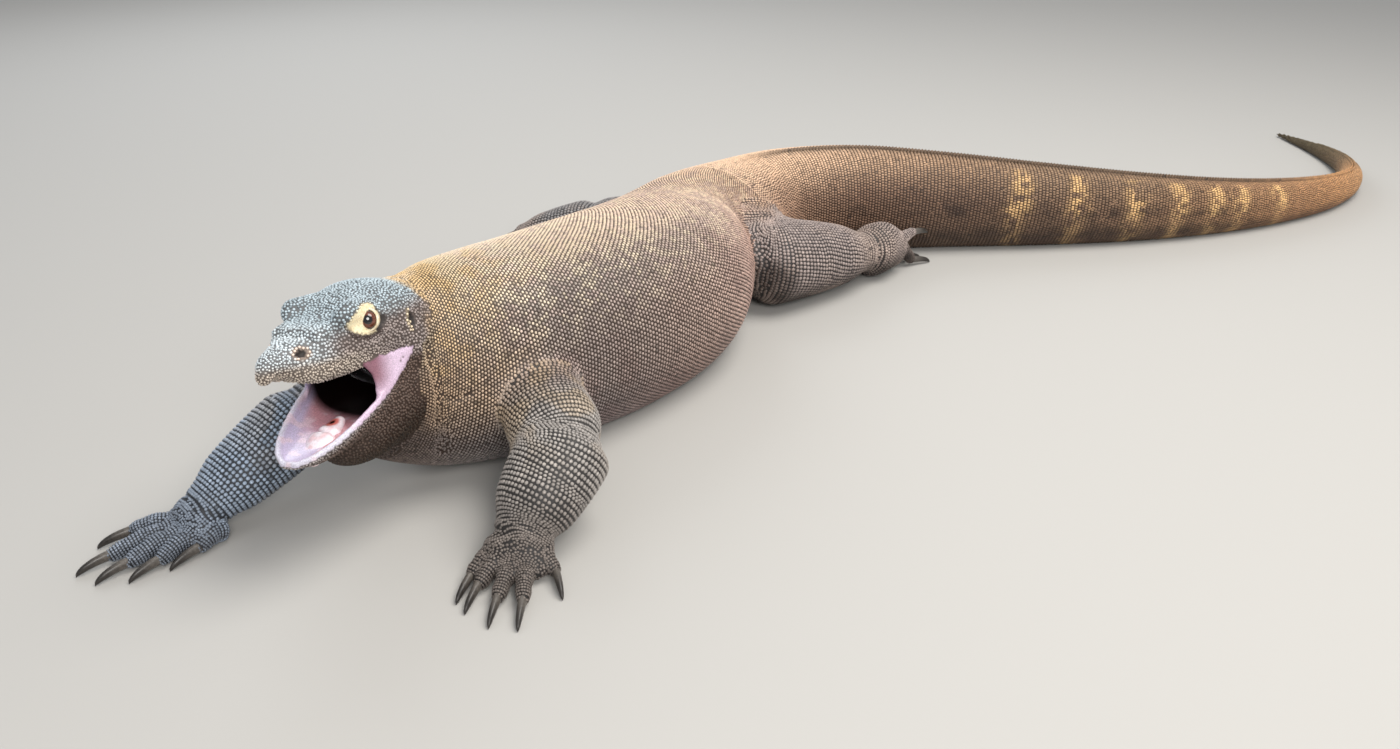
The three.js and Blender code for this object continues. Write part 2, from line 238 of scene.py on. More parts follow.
# ------------------------------------------------------------------ lofts
@dataclass
class Sweep:
    """A tube whose rounded section changes along a path.

    Each ring has a centre, a half width, a height above and a depth below it. Ends are domes
    as long as the two caps say.
    """

    centre: Array
    half: Array
    above: Array
    below: Array
    power: float = 2.0
    frame: Frame = WORLD
    caps: tuple[float, float] = (6.0, 6.0)

    def __post_init__(self) -> None:
        """Works out each ring's axes and its place along the path."""
        ahead = np.vstack([self.centre[1:], self.centre[-1:]])
        behind = np.vstack([self.centre[:1], self.centre[:-1]])
        self.tangent = ahead - behind
        self.tangent /= np.linalg.norm(self.tangent, axis=1, keepdims=True)
        self.side = np.cross(np.array([0.0, 0.0, 1.0]), self.tangent)
        self.side /= np.linalg.norm(self.side, axis=1, keepdims=True)
        self.rise = np.cross(self.tangent, self.side)
        steps = norms(np.diff(self.centre, axis=0))
        self.arc = np.concatenate([[0], np.cumsum(steps)])

    @property
    def spans(self) -> int:
        """The number of lengths between rings."""
        return len(self.centre) - 1

    def span_box(self, i: int) -> tuple[Array, Array]:
        """The box, in the part's frame, where a span has a say in the field."""
        corners = []
        for ring in (i, i + 1):
            across = self.side[ring] * (self.half[ring] + REACH)
            for way, size in ((1, self.above[ring]), (-1, self.below[ring])):
                for left in (1, -1):
                    corners.append(self.centre[ring] + across * left + self.rise[ring] * way * (size + REACH))
        corners = np.array(corners)
        if i == 0:
            corners = np.vstack([corners, corners - self.tangent[0] * (self.caps[0] + REACH)])
        if i == self.spans - 1:
            corners = np.vstack([corners, corners + self.tangent[-1] * (self.caps[1] + REACH)])
        world = self.frame.outward(corners)
        return world.min(0), world.max(0)

    def span_distance(self, i: int, points: Array) -> tuple[Array, Array]:
        """How far points are outside the tube, judged by one span.

        Args:
            i: The span's number.
            points: Places in the part's frame.

        Returns:
            A mask of the points that belong to the span, and the distance of each of those.
        """
        p = self.frame.inward(points)
        start = (p - self.centre[i]) @ self.tangent[i]
        end = (p - self.centre[i + 1]) @ self.tangent[i + 1]
        mine = ((start >= 0) | (i == 0)) & ((end < 0) | (i == self.spans - 1))
        p, start, end = p[mine], start[mine], end[mine]
        f = np.clip(start / np.maximum(start - end, 1e-9), 0, 1)[:, None]
        blend = lambda rows: rows[i] + (rows[i + 1] - rows[i]) * f
        away = p - blend(self.centre)
        a = np.abs((away * blend(self.side)).sum(1))
        b = (away * blend(self.rise)).sum(1)
        sizes = blend(np.stack([self.half, self.above, self.below], 1))
        b_size = np.where(b > 0, sizes[:, 1], sizes[:, 2])
        ratio = ((a / sizes[:, 0]) ** self.power + (np.abs(b) / b_size) ** self.power) ** (1 / self.power)
        past = np.maximum(-start / self.caps[0], 0) if i == 0 else 0
        if i == self.spans - 1:
            past = np.maximum(past, end / self.caps[1])
        ratio = np.maximum(np.sqrt(ratio**2 + past**2), 1e-6)
        return mine, norms(away) * (1 - 1 / ratio)

    def locate(self, points: Array) -> tuple[Array, Array]:
        """Each point's fractional ring number, and its angle from the top towards the left."""
        p = self.frame.inward(points)
        ring = np.zeros(len(p))
        angle = np.zeros(len(p))
        for part in np.array_split(np.arange(len(p)), max(1, len(p) // 20000)):
            q = p[part]
            nearest = np.argmin(((q[:, None] - self.centre[None]) ** 2).sum(2), axis=1)
            along = ((q - self.centre[nearest]) * self.tangent[nearest]).sum(1)
            first = np.clip(np.where(along >= 0, nearest, nearest - 1), 0, self.spans - 1)
            start = ((q - self.centre[first]) * self.tangent[first]).sum(1)
            end = ((q - self.centre[first + 1]) * self.tangent[first + 1]).sum(1)
            f = np.clip(start / np.maximum(start - end, 1e-9), 0, 1)
            ring[part] = first + f
            centre = self.centre[first] + (self.centre[first + 1] - self.centre[first]) * f[:, None]
            away = q - centre
            angle[part] = np.arctan2((away * self.side[first]).sum(1), (away * self.rise[first]).sum(1))
        return ring, angle

    def ring_at(self, ring: float) -> tuple[Array, ...]:
        """Centre, side, rise and the three sizes at a fractional ring."""
        i = min(int(ring), self.spans - 1)
        f = ring - i
        rows = (self.centre, self.side, self.rise, self.half, self.above, self.below)
        return tuple(r[i] + (r[i + 1] - r[i]) * f for r in rows)

    def section(self, turn: Array, half: float, above: float, below: float) -> tuple[Array, Array]:
        """How far across and up a rounded section lies at angles from its top."""
        sine, cosine = np.sin(turn), np.cos(turn)
        b_size = np.where(cosine > 0, above, below)
        ratio = (np.abs(sine) / half) ** self.power + (np.abs(cosine) / b_size) ** self.power
        radius = ratio ** (-1 / self.power)
        return radius * sine, radius * cosine

    def outline(self, ring: float, shares: Array, samples: int = 180) -> tuple[Array, float]:
        """Points round a section, a share of its girth from the middle of the underside.

        Args:
            ring: Fractional ring number.
            shares: Shares of the girth, from 0 to 1.
            samples: Number of points that measure the girth.

        Returns:
            The points in the part's frame, and the girth.
        """
        centre, side, rise, *sizes = self.ring_at(ring)
        curve = np.stack(self.section(np.linspace(-math.pi, math.pi, samples), *sizes), 1)
        lengths = np.concatenate([[0], np.cumsum(norms(np.diff(curve, axis=0)))])
        a, b = (np.interp(shares * lengths[-1], lengths, curve[:, k]) for k in (0, 1))
        points = centre + a[:, None] * side + b[:, None] * rise
        return self.frame.outward(points), float(lengths[-1])


def sweep_of_rows(rows: Array, widest: float, steps: int, **options) -> Sweep:
    """A sweep through stations of x, y, bottom, top and half width.

    Args:
        rows: The stations.
        widest: The level of the widest place, as a share of the height above the floor or foot.
        steps: Rings for each station.
        options: The sweep's power, frame and caps, and floor, below which no foot is counted.

    Returns:
        The sweep.
    """
    floor = options.pop("floor", None)
    places = np.linspace(0, len(rows) - 1, (len(rows) - 1) * steps + 1)
    x, y, bottom, top, half = row_at(rows, places).T
    foot = bottom
    if floor is not None:
        ease = 0.1 * (top - bottom)
        foot = floor + 0.5 * (bottom - floor + np.sqrt((bottom - floor) ** 2 + ease**2))
    z = foot + (top - foot) * widest
    return Sweep(np.stack([x, y, z], 1), half, top - z, z - bottom, **options)


# ------------------------------------------------------------------ the field
def stepped_axis(stops: list[tuple[float, float]], end: float) -> Array:
    """Places along an axis whose step changes at stops.

    Args:
        stops: The start of each zone and its step.
        end: Where the last zone ends.

    Returns:
        The places, in rising order.
    """
    edges = [start for start, _ in stops] + [end]
    zones = []
    for (start, step), stop in zip(stops, edges[1:]):
        count = max(1, round((stop - start) / step))
        zones.append(np.linspace(start, stop, count, endpoint=False))
    return np.concatenate(zones + [[end]])


class SkinField:
    """Distance from the outer shape on a grid of uneven steps, negative inside."""

    def __init__(self, axes: list[Array]) -> None:
        """An empty field on three axes."""
        self.axes = axes
        shape = tuple(len(a) for a in axes)
        self.values = np.full(shape, FAR, np.float32)
        self.owner = np.zeros(shape, np.int8)

    def window(self, low: Array, high: Array) -> tuple[slice, ...]:
        """The grid's slices that a box covers."""
        found = []
        for k, axis in enumerate(self.axes):
            first = int(np.searchsorted(axis, low[k]))
            last = int(np.searchsorted(axis, high[k], side="right"))
            found.append(slice(first, max(last, first)))
        return tuple(found)

    def points(self, window: tuple[slice, ...]) -> Array:
        """The grid's points in a window, three columns."""
        grid = np.meshgrid(*(a[s] for a, s in zip(self.axes, window)), indexing="ij")
        return np.stack(grid, -1).reshape(-1, 3)

    def patch(self, low: Array, high: Array) -> "SkinField":
        """A copy of the field in a box."""
        window = self.window(low, high)
        copy = SkinField([a[s] for a, s in zip(self.axes, window)])
        copy.values = self.values[window].copy()
        copy.owner = self.owner[window].copy()
        return copy

    def merge(self, patch: "SkinField") -> None:
        """Joins a patch with the field, with no rounding where they meet."""
        low = np.array([a[0] for a in patch.axes])
        high = np.array([a[-1] for a in patch.axes])
        window = self.window(low, high)
        lower = patch.values < self.values[window]
        self.values[window] = np.where(lower, patch.values, self.values[window])
        self.owner[window] = np.where(lower, patch.owner, self.owner[window])

    def join(self, window: tuple[slice, ...], mine: Array | slice, distance: Array, blend: float,
             part: Part, hollow: bool = False) -> None:
        """Joins a shape on, or hollows it out, rounded over a width.

        Args:
            window: The grid's slices round the shape.
            mine: The window's points that the shape has a say at.
            distance: How far each of those is outside the shape.
            blend: The rounding's width.
            part: What its surface belongs to.
            hollow: Whether it is taken away.
        """
        shape = self.values[window].shape
        values, owner = self.values[window].reshape(-1), self.owner[window].reshape(-1)
        old = values[mine]
        new = -smooth_min(-old, distance, blend) if hollow else smooth_min(old, distance, blend)
        taken = (-distance > old) if hollow else (distance < old)
        values[mine] = new
        owner[mine] = np.where(taken, part, owner[mine])
        self.values[window], self.owner[window] = values.reshape(shape), owner.reshape(shape)

    def add(self, sweep: Sweep, blend: float, part: Part, hollow: bool = False) -> None:
        """Joins a sweep on, or hollows it out."""
        for i in range(sweep.spans):
            window = self.window(*sweep.span_box(i))
            if min(s.stop - s.start for s in window) > 0:
                mine, distance = sweep.span_distance(i, self.points(window))
                self.join(window, mine, distance, blend, part, hollow)

    def ball(self, centre: tuple, radii: tuple, frame: Frame, blend: float, part: Part,
             hollow: bool = False) -> None:
        """Joins an ellipsoid of the frame on, or hollows it out."""
        middle = frame.outward(np.array([centre], float))[0]
        spread = max(radii) + REACH
        window = self.window(middle - spread, middle + spread)
        local = frame.inward(self.points(window)) - centre
        distance = norms(local) * (1 - 1 / np.maximum(norms(local / radii), 1e-6))
        self.join(window, slice(None), distance, blend, part, hollow)

    def rod(self, line: Array, radius: float, blend: float, part: Part) -> None:
        """Joins a round rod along a line of the part's frame."""
        margin = radius + REACH / 2
        window = self.window(line.min(0) - margin, line.max(0) + margin)
        distance = distance_to_line(self.points(window), line) - radius
        self.join(window, slice(None), distance, blend, part)

    def press(self, line: Array, width: float, depth: float, frame: Frame = WORLD) -> None:
        """Presses a groove along a line of the frame, or raises a ridge where the depth is negative."""
        path = frame.outward(np.asarray(line, float))
        window = self.window(path.min(0) - 3 * width, path.max(0) + 3 * width)
        points = self.points(window)
        if len(points):
            push = depth * np.exp(-((distance_to_line(points, path) / width) ** 2))
            self.values[window] += push.reshape(self.values[window].shape).astype(np.float32)

    def rest_on_floor(self, rounding: float) -> None:
        """Ends the shape at the floor with a rounded edge."""
        below = (self.axes[2] <= rounding * 2).sum()
        floor = -self.axes[2][:below].astype(np.float32)[None, None]
        self.values[:, :, :below] = -smooth_min(-self.values[:, :, :below], -floor, rounding)

    def spots(self, points: Array) -> Array:
        """Fractional grid places of points."""
        rows = [np.interp(points[:, k], axis, np.arange(len(axis))) for k, axis in enumerate(self.axes)]
        return np.stack(rows, 1)

    def sample(self, points: Array) -> Array:
        """The field at points."""
        place = self.spots(points)
        top = np.array(self.values.shape) - 2
        base = np.minimum(np.floor(place).astype(int), top)
        f = place - base
        total = np.zeros(len(points))
        for corner in itertools.product((0, 1), repeat=3):
            i = base + np.array(corner)
            weight = np.prod(np.where(corner, f, 1 - f), axis=1)
            total += weight * self.values[i[:, 0], i[:, 1], i[:, 2]]
        return total

    def owner_at(self, points: Array) -> Array:
        """The part that each point's nearest grid point belongs to."""
        i = np.round(self.spots(points)).astype(int)
        return self.owner[i[:, 0], i[:, 1], i[:, 2]]

    def gradient(self, points: Array, step: float = 1.6) -> Array:
        """How fast the field grows along each axis."""
        found = np.zeros_like(points)
        for k in range(3):
            shift = np.zeros(3)
            shift[k] = step
            found[:, k] = self.sample(points + shift) - self.sample(points - shift)
        return found / (2 * step)

    def slope(self, points: Array) -> Array:
        """The field's unit gradient, which points outwards."""
        found = self.gradient(points)
        return found / np.maximum(np.linalg.norm(found, axis=1, keepdims=True), 1e-9)

    def settle(self, points: Array, steps: int = 6, level: float = -COAT_DEPTH) -> Array:
        """Points moved onto the skin along the field's slope."""
        p = points.copy()
        for _ in range(steps):
            gap = np.clip(self.sample(p) - level, -8, 8)[:, None]
            way = self.gradient(p)
            steepness = np.maximum((way**2).sum(1, keepdims=True), 0.5)
            p -= way * gap / steepness
        return p

    def surface(self, level: float = -COAT_DEPTH) -> tuple[Array, Array]:
        """The level surface's vertices and faces of four corners."""
        grid = openvdb.FloatGrid(FAR)
        grid.copyFromArray(self.values, tolerance=0.0)
        places, quads = grid.convertToQuads(level)
        columns = [np.interp(places[:, k], np.arange(len(a)), a) for k, a in enumerate(self.axes)]
        return np.stack(columns, 1), quads.astype(np.int64)


def distance_to_line(points: Array, path: Array) -> Array:
    """Each point's distance to a line of straight pieces."""
    best = np.full(len(points), np.inf)
    for a, b in zip(path[:-1], path[1:]):
        along = b - a
        t = np.clip(((points - a) @ along) / max(along @ along, 1e-9), 0, 1)
        best = np.minimum(best, norms(points - a - t[:, None] * along))
    return best


def curve_through(points: list[tuple[float, ...]], steps: int = 6) -> Array:
    """A smooth line through points, with this many pieces between each two."""
    rows = np.array(points, float)
    return row_at(rows, np.linspace(0, len(rows) - 1, (len(rows) - 1) * steps + 1))


# ------------------------------------------------------------------ body, neck and tail
@dataclass(frozen=True)
class BodyShape:
    """Neck, trunk and tail as one loft: x, y, bottom, top and half width of each station."""

    neck: tuple = ((318, -20, 52, 223, 56), (285, -14, 30, 229, 69), (245, -2, 10, 231, 85))
    trunk: tuple = (
        (185, 18, -6, 227, 103),
        (120, 37, -16, 221, 114),
        (30, 57, -24, 211, 131),
        (-70, 68, -24, 197, 141),
        (-160, 60, -18, 184, 129),
        (-240, 43, -12, 172, 107),
        (-320, 39, -10, 166, 93),
    )
    tail: tuple = (  # x, y, height, half width
        (-400, 62, 162, 82),
        (-485, 114, 162, 77),
        (-563, 210, 158, 71),
        (-629, 338, 144, 62),
        (-694, 476, 126, 53),
        (-771, 616, 106, 44),
        (-858, 738, 87, 36),
        (-954, 838, 71, 30),
        (-1062, 918, 57, 25),
        (-1174, 962, 45, 20),
        (-1290, 960, 34, 15.5),
        (-1400, 920, 23, 11),
        (-1515, 852, 9, 4),
    )
    hips: tuple = ((-372.0, 96.0, 84.0), (78.0, 60.0, 66.0))  # centre and radii
    tail_press: float = 0.05
    widest: float = 0.45
    power: float = 2.2
    steps: int = 6

    def sweep(self) -> Sweep:
        """The loft from the back of the skull to the tail's tip."""
        tail = [(x, y, -self.tail_press * height, height, half) for x, y, height, half in self.tail]
        rows = np.array([*self.neck, *self.trunk, *tail], float)
        return sweep_of_rows(rows, self.widest, self.steps, floor=0.0, power=self.power, caps=(12.0, 5.0))


# ------------------------------------------------------------------ head
HEAD_FRAME = Frame(np.array([460.0, -10.0, 208.0]), rotation("Z", 4.1) @ rotation("Y", -13) @ rotation("X", 6.5))
JAW_HINGE = np.array([-138.0, 0.0, -6.0])
JAW_OPEN = 29.5
JAW_FRAME = Frame(HEAD_FRAME.outward(JAW_HINGE[None])[0], HEAD_FRAME.axes @ rotation("Y", JAW_OPEN))


def head_rows(rows: tuple) -> Array:
    """Stations of x, bottom, top and half width with the missing y of a straight loft."""
    return np.array([(x, 0, bottom, top, half) for x, bottom, top, half in rows], float)


@dataclass(frozen=True)
class HeadShape:
    """Skull and jaw: x, bottom, top and half width of each station in their own frames."""

    skull: tuple = (
        (-184, -4, 56, 50),
        (-165, -6, 62, 55),
        (-140, -8, 65, 54),
        (-118, -11, 62, 49),
        (-98, -14, 55, 43),
        (-78, -15, 45, 39),
        (-55, -16, 39, 35),
        (-34, -15, 35, 29.5),
        (-17, -4, 30, 19.5),
        (-5, 2, 23, 12),
        (2, -1, 16, 8),
        (8, -3, 7, 4.5),
    )
    chin: tuple = (
        (-44, -56, 4, 50),
        (-18, -62, 22, 53),
        (8, -60, 14, 52),
        (40, -48, 2, 49),
        (80, -31, 0, 44),
        (112, -23, 0, 36),
        (134, -15, 0, 25),
        (146, -8, -1, 12),
    )
    chin_widest: float = 0.72
    chin_power: float = 2.6
    trough_from: float = 1.6
    trough_to: float = 6.65
    trough_bed: float = 10.0
    trough_wall: float = 8.0
    trough_clear: float = 40.0
    throat: tuple = ((-80, -34, 0, 20), (-50, -40, 6, 26), (-20, -46, 22, 34), (12, -44, 26, 40))
    palate: tuple = ((-66.0, 0.0, -15.0), (52.0, 28.0, 15.0))  # centre and radii
    gullet: tuple = ((-100.0, 0.0, -32.0), (54.0, 38.0, 28.0))
    pouches: tuple = (((22, 0, -46), (80, 51, 36)), ((-30, 0, -60), (66, 54, 42)))
    brow: tuple = ((-91.0, 28.5, 43.5), (25.0, 11.0, 12.5))
    lip_roll: float = 2.8
    lip_end: tuple = ((-1.0, 50.0, 7.0), (6.0, 49.5, 4.0), (16.0, 49.0, 1.0))
    sheet: float = 2.5
    sheet_upper: tuple = (-82.0, 36.0, -3.0)
    sheet_lower: tuple = (56.0, 40.0, -7.0)
    corner: tuple = (-134.0, 49.0, 1.0)
    cheek: tuple = ((-152.0, 40.0, 4.0), (24.0, 14.0, 22.0))
    rostral: tuple = ((4.0, 0.0, 2.5), (5.5, 6.0, 6.5))
    socket: tuple = ((-97.0, 45.0, 36.0), (13.0, 6.5, 11.5))
    nostril: tuple = ((-23.0, 22.5, 19.0), (5.6, 6.5, 3.6))
    nostril_rim: float = 6.4
    ear: tuple = ((-140.0, 53.0, 28.0), (2.6, 4.0, 8.5))
    canthus: tuple = ((-74, 33, 48), (-52, 25, 38), (-30, 21, 31))
    ear_rim: tuple = ((-138, 50, 36), (-134.5, 53, 28), (-137, 54, 20))
    under_eye: tuple = ((-70, 32, 33), (-77, 36, 23), (-89, 39, 20), (-103, 44, 23))
    lip_groove: tuple = ((-8, 17, 13), (-25, 27, 9), (-50, 33, 5), (-80, 38, 2), (-112, 46, 5))
    chin_groove: tuple = ((8, 51, -8), (45, 48, -12), (85, 43, -11), (115, 34, -10), (134, 22, -8))

    def loft(self, rows: tuple, widest: float, frame: Frame, power: float, caps: tuple) -> Sweep:
        """A straight loft through stations of x, bottom, top and half width."""
        return sweep_of_rows(head_rows(rows), widest, 4, power=power, frame=frame, caps=caps)

    def trough_sweep(self) -> Sweep:
        """The space between the two sides of the lower jaw."""
        places = np.linspace(self.trough_from, self.trough_to, 24)
        x, y, bottom, lip, half = row_at(head_rows(self.chin), places).T
        inner = np.stack([x, y, bottom + self.trough_bed, lip + self.trough_clear, half - self.trough_wall], 1)
        return sweep_of_rows(inner, 0.3, 1, power=2.7, frame=JAW_FRAME, caps=(8.0, 2.5))

    def add_to(self, field_: SkinField) -> None:
        """Joins skull, jaw, brows and cheeks to a field that holds the neck."""
        field_.add(self.loft(self.skull, 0.3, HEAD_FRAME, 2.5, (14.0, 2.5)), 14.0, Part.SKULL)
        field_.add(self.loft(self.chin, self.chin_widest, JAW_FRAME, self.chin_power, (14.0, 4.0)), 9.0, Part.JAW)
        field_.ball(*self.rostral, HEAD_FRAME, 5.0, Part.SKULL)
        for pouch in self.pouches:
            field_.ball(*pouch, JAW_FRAME, 22.0, Part.JAW)
        for side in Side:
            for (centre, radii), blend in ((self.brow, 10.0), (self.cheek, 12.0)):
                field_.ball(mirrored(centre, side), radii, HEAD_FRAME, blend, Part.SKULL)

    def hollow_in(self, field_: SkinField) -> None:
        """Opens the mouth, eye sockets, nostrils and ears."""
        field_.add(self.trough_sweep(), 4.0, Part.MOUTH, hollow=True)
        field_.add(self.loft(self.throat, 0.5, JAW_FRAME, 2.0, (14.0, 10.0)), 6.0, Part.MOUTH, hollow=True)
        for cavity in (self.palate, self.gullet):
            field_.ball(*cavity, HEAD_FRAME, 5.0, Part.MOUTH, hollow=True)
        for side in Side:
            for centre, radii in (self.socket, self.nostril, self.ear):
                field_.ball(mirrored(centre, side), radii, HEAD_FRAME, 2.0, Part.HOLE, hollow=True)
            self.stretch_cheek(field_, side)
        field_.rod(self.lip_line(), self.lip_roll, 3.0, Part.MOUTH)

    def lip_line(self) -> Array:
        """The crest of the lower lip from corner to corner, in the part's frame."""
        x, _, bottom, top, half = row_at(head_rows(self.chin), np.linspace(2.6, 6.98, 60)).T
        y = half - 0.5 * self.trough_wall
        middle = bottom + self.chin_widest * (top - bottom)
        z = middle + (top - middle) * (1 - (y / half) ** self.chin_power) ** (1 / self.chin_power)
        one = np.vstack([self.lip_end, np.stack([x, y, z], 1)])
        return JAW_FRAME.outward(np.vstack([one, one[::-1] * np.array([1, -1, 1])]))

    def stretch_cheek(self, field_: SkinField, side: Side) -> None:
        """The thin sheet of skin between the jaws at a corner of the mouth."""
        ends = ((HEAD_FRAME, self.corner), (HEAD_FRAME, self.sheet_upper), (JAW_FRAME, self.sheet_lower))
        corner, upper, lower = (frame.outward(mirrored(end, side)[None])[0] for frame, end in ends)
        for t in np.linspace(0, 1, 16):
            edge = upper + (lower - upper) * t
            edge += (corner - edge) * 0.12 * math.sin(math.pi * t)
            field_.rod(np.stack([corner, edge]), self.sheet, 2.5, Part.MOUTH)

    def fold(self, field_: SkinField) -> None:
        """Raises the ridges of the face and presses its grooves."""
        lines = (
            (self.canthus, 9.0, -5.0, HEAD_FRAME),
            (self.ear_rim, 2.6, -1.8, HEAD_FRAME),
            (self.under_eye, 2.4, 1.8, HEAD_FRAME),
            (self.lip_groove, 2.2, 1.1, HEAD_FRAME),
            (self.chin_groove, 2.6, 1.2, JAW_FRAME),
            (self.nostril_ring(), 1.8, -1.2, HEAD_FRAME),
        )
        for side, (line, width, depth, frame) in itertools.product(Side, lines):
            field_.press(mirrored(line, side), width, depth, frame)

    def nostril_ring(self) -> Array:
        """The raised rim round a nostril."""
        (x, y, z), _ = self.nostril
        turn = np.linspace(0, 2 * math.pi, 15)
        across = self.nostril_rim * np.cos(turn)
        up = 0.72 * self.nostril_rim * np.sin(turn)
        return np.stack([x + across, np.full(15, y - 1.5), z + up], 1)


def mirrored(points: tuple, side: Side) -> Array:
    """Points of the head's or jaw's frame, on that side of the animal."""
    return np.array(points, float) * np.array([1.0, side.value, 1.0])


# ------------------------------------------------------------------ limbs
def heading(degrees: float) -> Array:
    """A level direction, turned from +X towards +Y."""
    return np.array([math.cos(math.radians(degrees)), math.sin(math.radians(degrees)), 0.0])


@dataclass(frozen=True)
class DigitSizes:
    """Sizes shared by all digits and claws."""

    root: float = 9.8
    tip: float = 7.0
    arch: float = 13.0
    tip_height: float = 10.0
    knuckle: float = 4.0
    claw_length: float = 35.0
    claw_root: float = 5.3
    claw_tip: float = 0.5


DIGIT = DigitSizes()


@dataclass
class Digit:
    """One digit's root and end, its lift from the floor and the way its claw points."""

    root: Array
    end: Array
    lift: float
    way: Array

    def sweep(self) -> Sweep:
        """The digit's flesh, arched over its knuckle."""
        t = np.linspace(0, 1, 13)
        radius = DIGIT.root + (DIGIT.tip - DIGIT.root) * t
        radius *= 1 + 0.07 * np.cos(2 * math.pi * (t * 2.4 - 0.1)) - 0.16 * ramp(0.8, 1.0, t)
        centre = self.root + (self.end - self.root) * t[:, None]
        centre[:, 2] += DIGIT.knuckle * np.sin(math.pi * t)
        below = radius if self.lift > 0 else np.minimum(centre[:, 2], radius + DIGIT.knuckle)
        return Sweep(centre, radius, radius.copy(), below, caps=(4.0, 4.5))

    def claw(self) -> Sweep:
        """The claw, curved down to its point."""
        t = np.linspace(0, 1, 18)
        start = self.end - 3 * self.way
        reach = DIGIT.claw_length * np.sin(t * math.pi / 2 * 0.92)
        centre = start + self.way * reach[:, None]
        drop = 1 - np.cos(t * math.pi / 2)
        centre[:, 2] = self.lift + DIGIT.tip_height + (DIGIT.claw_tip + 0.6 - DIGIT.tip_height) * drop
        radius = DIGIT.claw_tip + (DIGIT.claw_root - DIGIT.claw_tip) * (1 - t**1.7) ** 0.8
        return Sweep(centre, radius * 0.76, radius, radius.copy(), caps=(2.0, 0.8))


@dataclass
class LimbShape:
    """One limb: its joints, half thicknesses, palm and digits.

    A digit is its root ahead of and to the left of the palm's middle, its turn from the way the
    hand points, its length and how far its end is lifted.
    """

    joints: tuple
    thick: tuple
    turn: float
    palm: float
    raised: float
    follow: float
    digits: tuple

    def segment(self, first: int, over: float, swell: float, scale_end: float = 1.0) -> Sweep:
        """The flesh between two joints, fullest near its middle.

        Args:
            first: The upper joint's number.
            over: How far it starts before that joint, as a share of the thickness.
            swell: The middle's extra thickness, as a share.
            scale_end: Scale of the thickness at the lower joint.

        Returns:
            The sweep.
        """
        a, b = (np.array(self.joints[first + k], float) for k in (0, 1))
        thick_a, thick_b = self.thick[first], self.thick[first + 1] * scale_end
        start = a - (b - a) / np.linalg.norm(b - a) * thick_a * over
        t = np.linspace(0, 1, 19)
        radius = (thick_a + (thick_b - thick_a) * t) * (1 + swell * np.sin(math.pi * t))
        radius *= 1 - 0.38 * np.maximum(1 - t * 6, 0) ** 1.6 - 0.28 * np.maximum(t * 4 - 3, 0) ** 1.4
        centre = start + (b - start) * t[:, None]
        caps = (0.3 * radius[0], 0.35 * radius[-1])
        return Sweep(centre, radius, radius * 0.9, radius * 0.9, caps=caps)

    def palm_centre(self) -> Array:
        """The palm's middle on the floor."""
        wrist = np.array(self.joints[2], float) * np.array([1, 1, 0])
        return wrist + heading(self.turn) * self.palm

    def palm_sweep(self) -> Sweep:
        """The palm or sole from the wrist or ankle to the digits' roots."""
        wrist = np.array(self.joints[2], float)
        half, height, raised = self.thick[2] * 0.98, 32.0, self.raised
        end = self.palm_centre() + heading(self.turn) * half * 0.5
        spread = 0.9 if raised > 0 else 1.04
        rows = np.array([
            (0, wrist[2], height * 1.05 + raised * 0.5, half * 0.9),
            (0.35, wrist[2] * 0.4 + 14 * 0.6 + raised * 0.5, height + raised * 0.8, half),
            (0.7, 13 + raised * 0.8, height * 0.8 + raised, half * spread),
            (1, 10 + raised * 0.8, height * 0.5 + raised * 0.8, half * 0.8),
        ])
        t, z, high, wide = row_at(rows, np.linspace(0, 3, 13)).T
        centre = wrist + (end - wrist) * t[:, None]
        centre[:, 2] = z
        below = np.maximum(z - raised * 0.1, high * 0.5)
        ease = 1 - 0.3 * np.maximum(1 - t * 5, 0)
        return Sweep(centre, wide * ease, high * 0.62 * ease, below * ease, caps=(14.0, 4.0))

    def digit_list(self) -> list[Digit]:
        """The digits, from the inner one out."""
        palm = self.palm_centre()
        found = []
        for forward, across, spread, length, lift in self.digits:
            root = palm + heading(self.turn) * forward + heading(self.turn + 90) * across
            end = root + heading(self.turn + spread) * length
            root[2] = DIGIT.arch + self.raised
            end[2] = DIGIT.tip_height + lift
            found.append(Digit(root, end, lift, heading(self.turn + spread * self.follow)))
        return found

    def row_path(self) -> tuple[Sweep, float]:
        """A tube through all joints that the rows of scales follow, and the wrist's ring."""
        shoulder, elbow, wrist = (np.array(j, float) for j in self.joints)
        palm = self.palm_centre() + heading(self.turn) * self.thick[2] * 0.9
        palm[2] = 12 + 0.6 * self.raised
        before = shoulder - (elbow - shoulder) * 0.25
        stops = np.array([before, shoulder, (shoulder + elbow) / 2, elbow, (elbow + wrist) / 2, wrist, palm])
        a, b, c = self.thick
        radii = np.array([a, a, (a + b) / 2, b, (b + c) / 2, c, c])
        places = np.linspace(0, 6, 49)
        centre = row_at(stops, places)
        radius = row_at(radii[:, None], places)[:, 0] * 0.92
        return Sweep(centre, radius, radius * 0.9, radius * 0.9), 40.0

    def add_to(self, field_: SkinField, limb: Part, foot: Part, blend: float) -> None:
        """Joins the limb to the field."""
        field_.add(self.segment(0, 0.2, 0.08, 0.95), blend, limb)
        field_.add(self.segment(1, 0.35, 0.1), blend * 0.7, limb)
        field_.add(self.palm_sweep(), 16.0, foot)
        for digit in self.digit_list():
            field_.add(digit.sweep(), 4.0, foot)


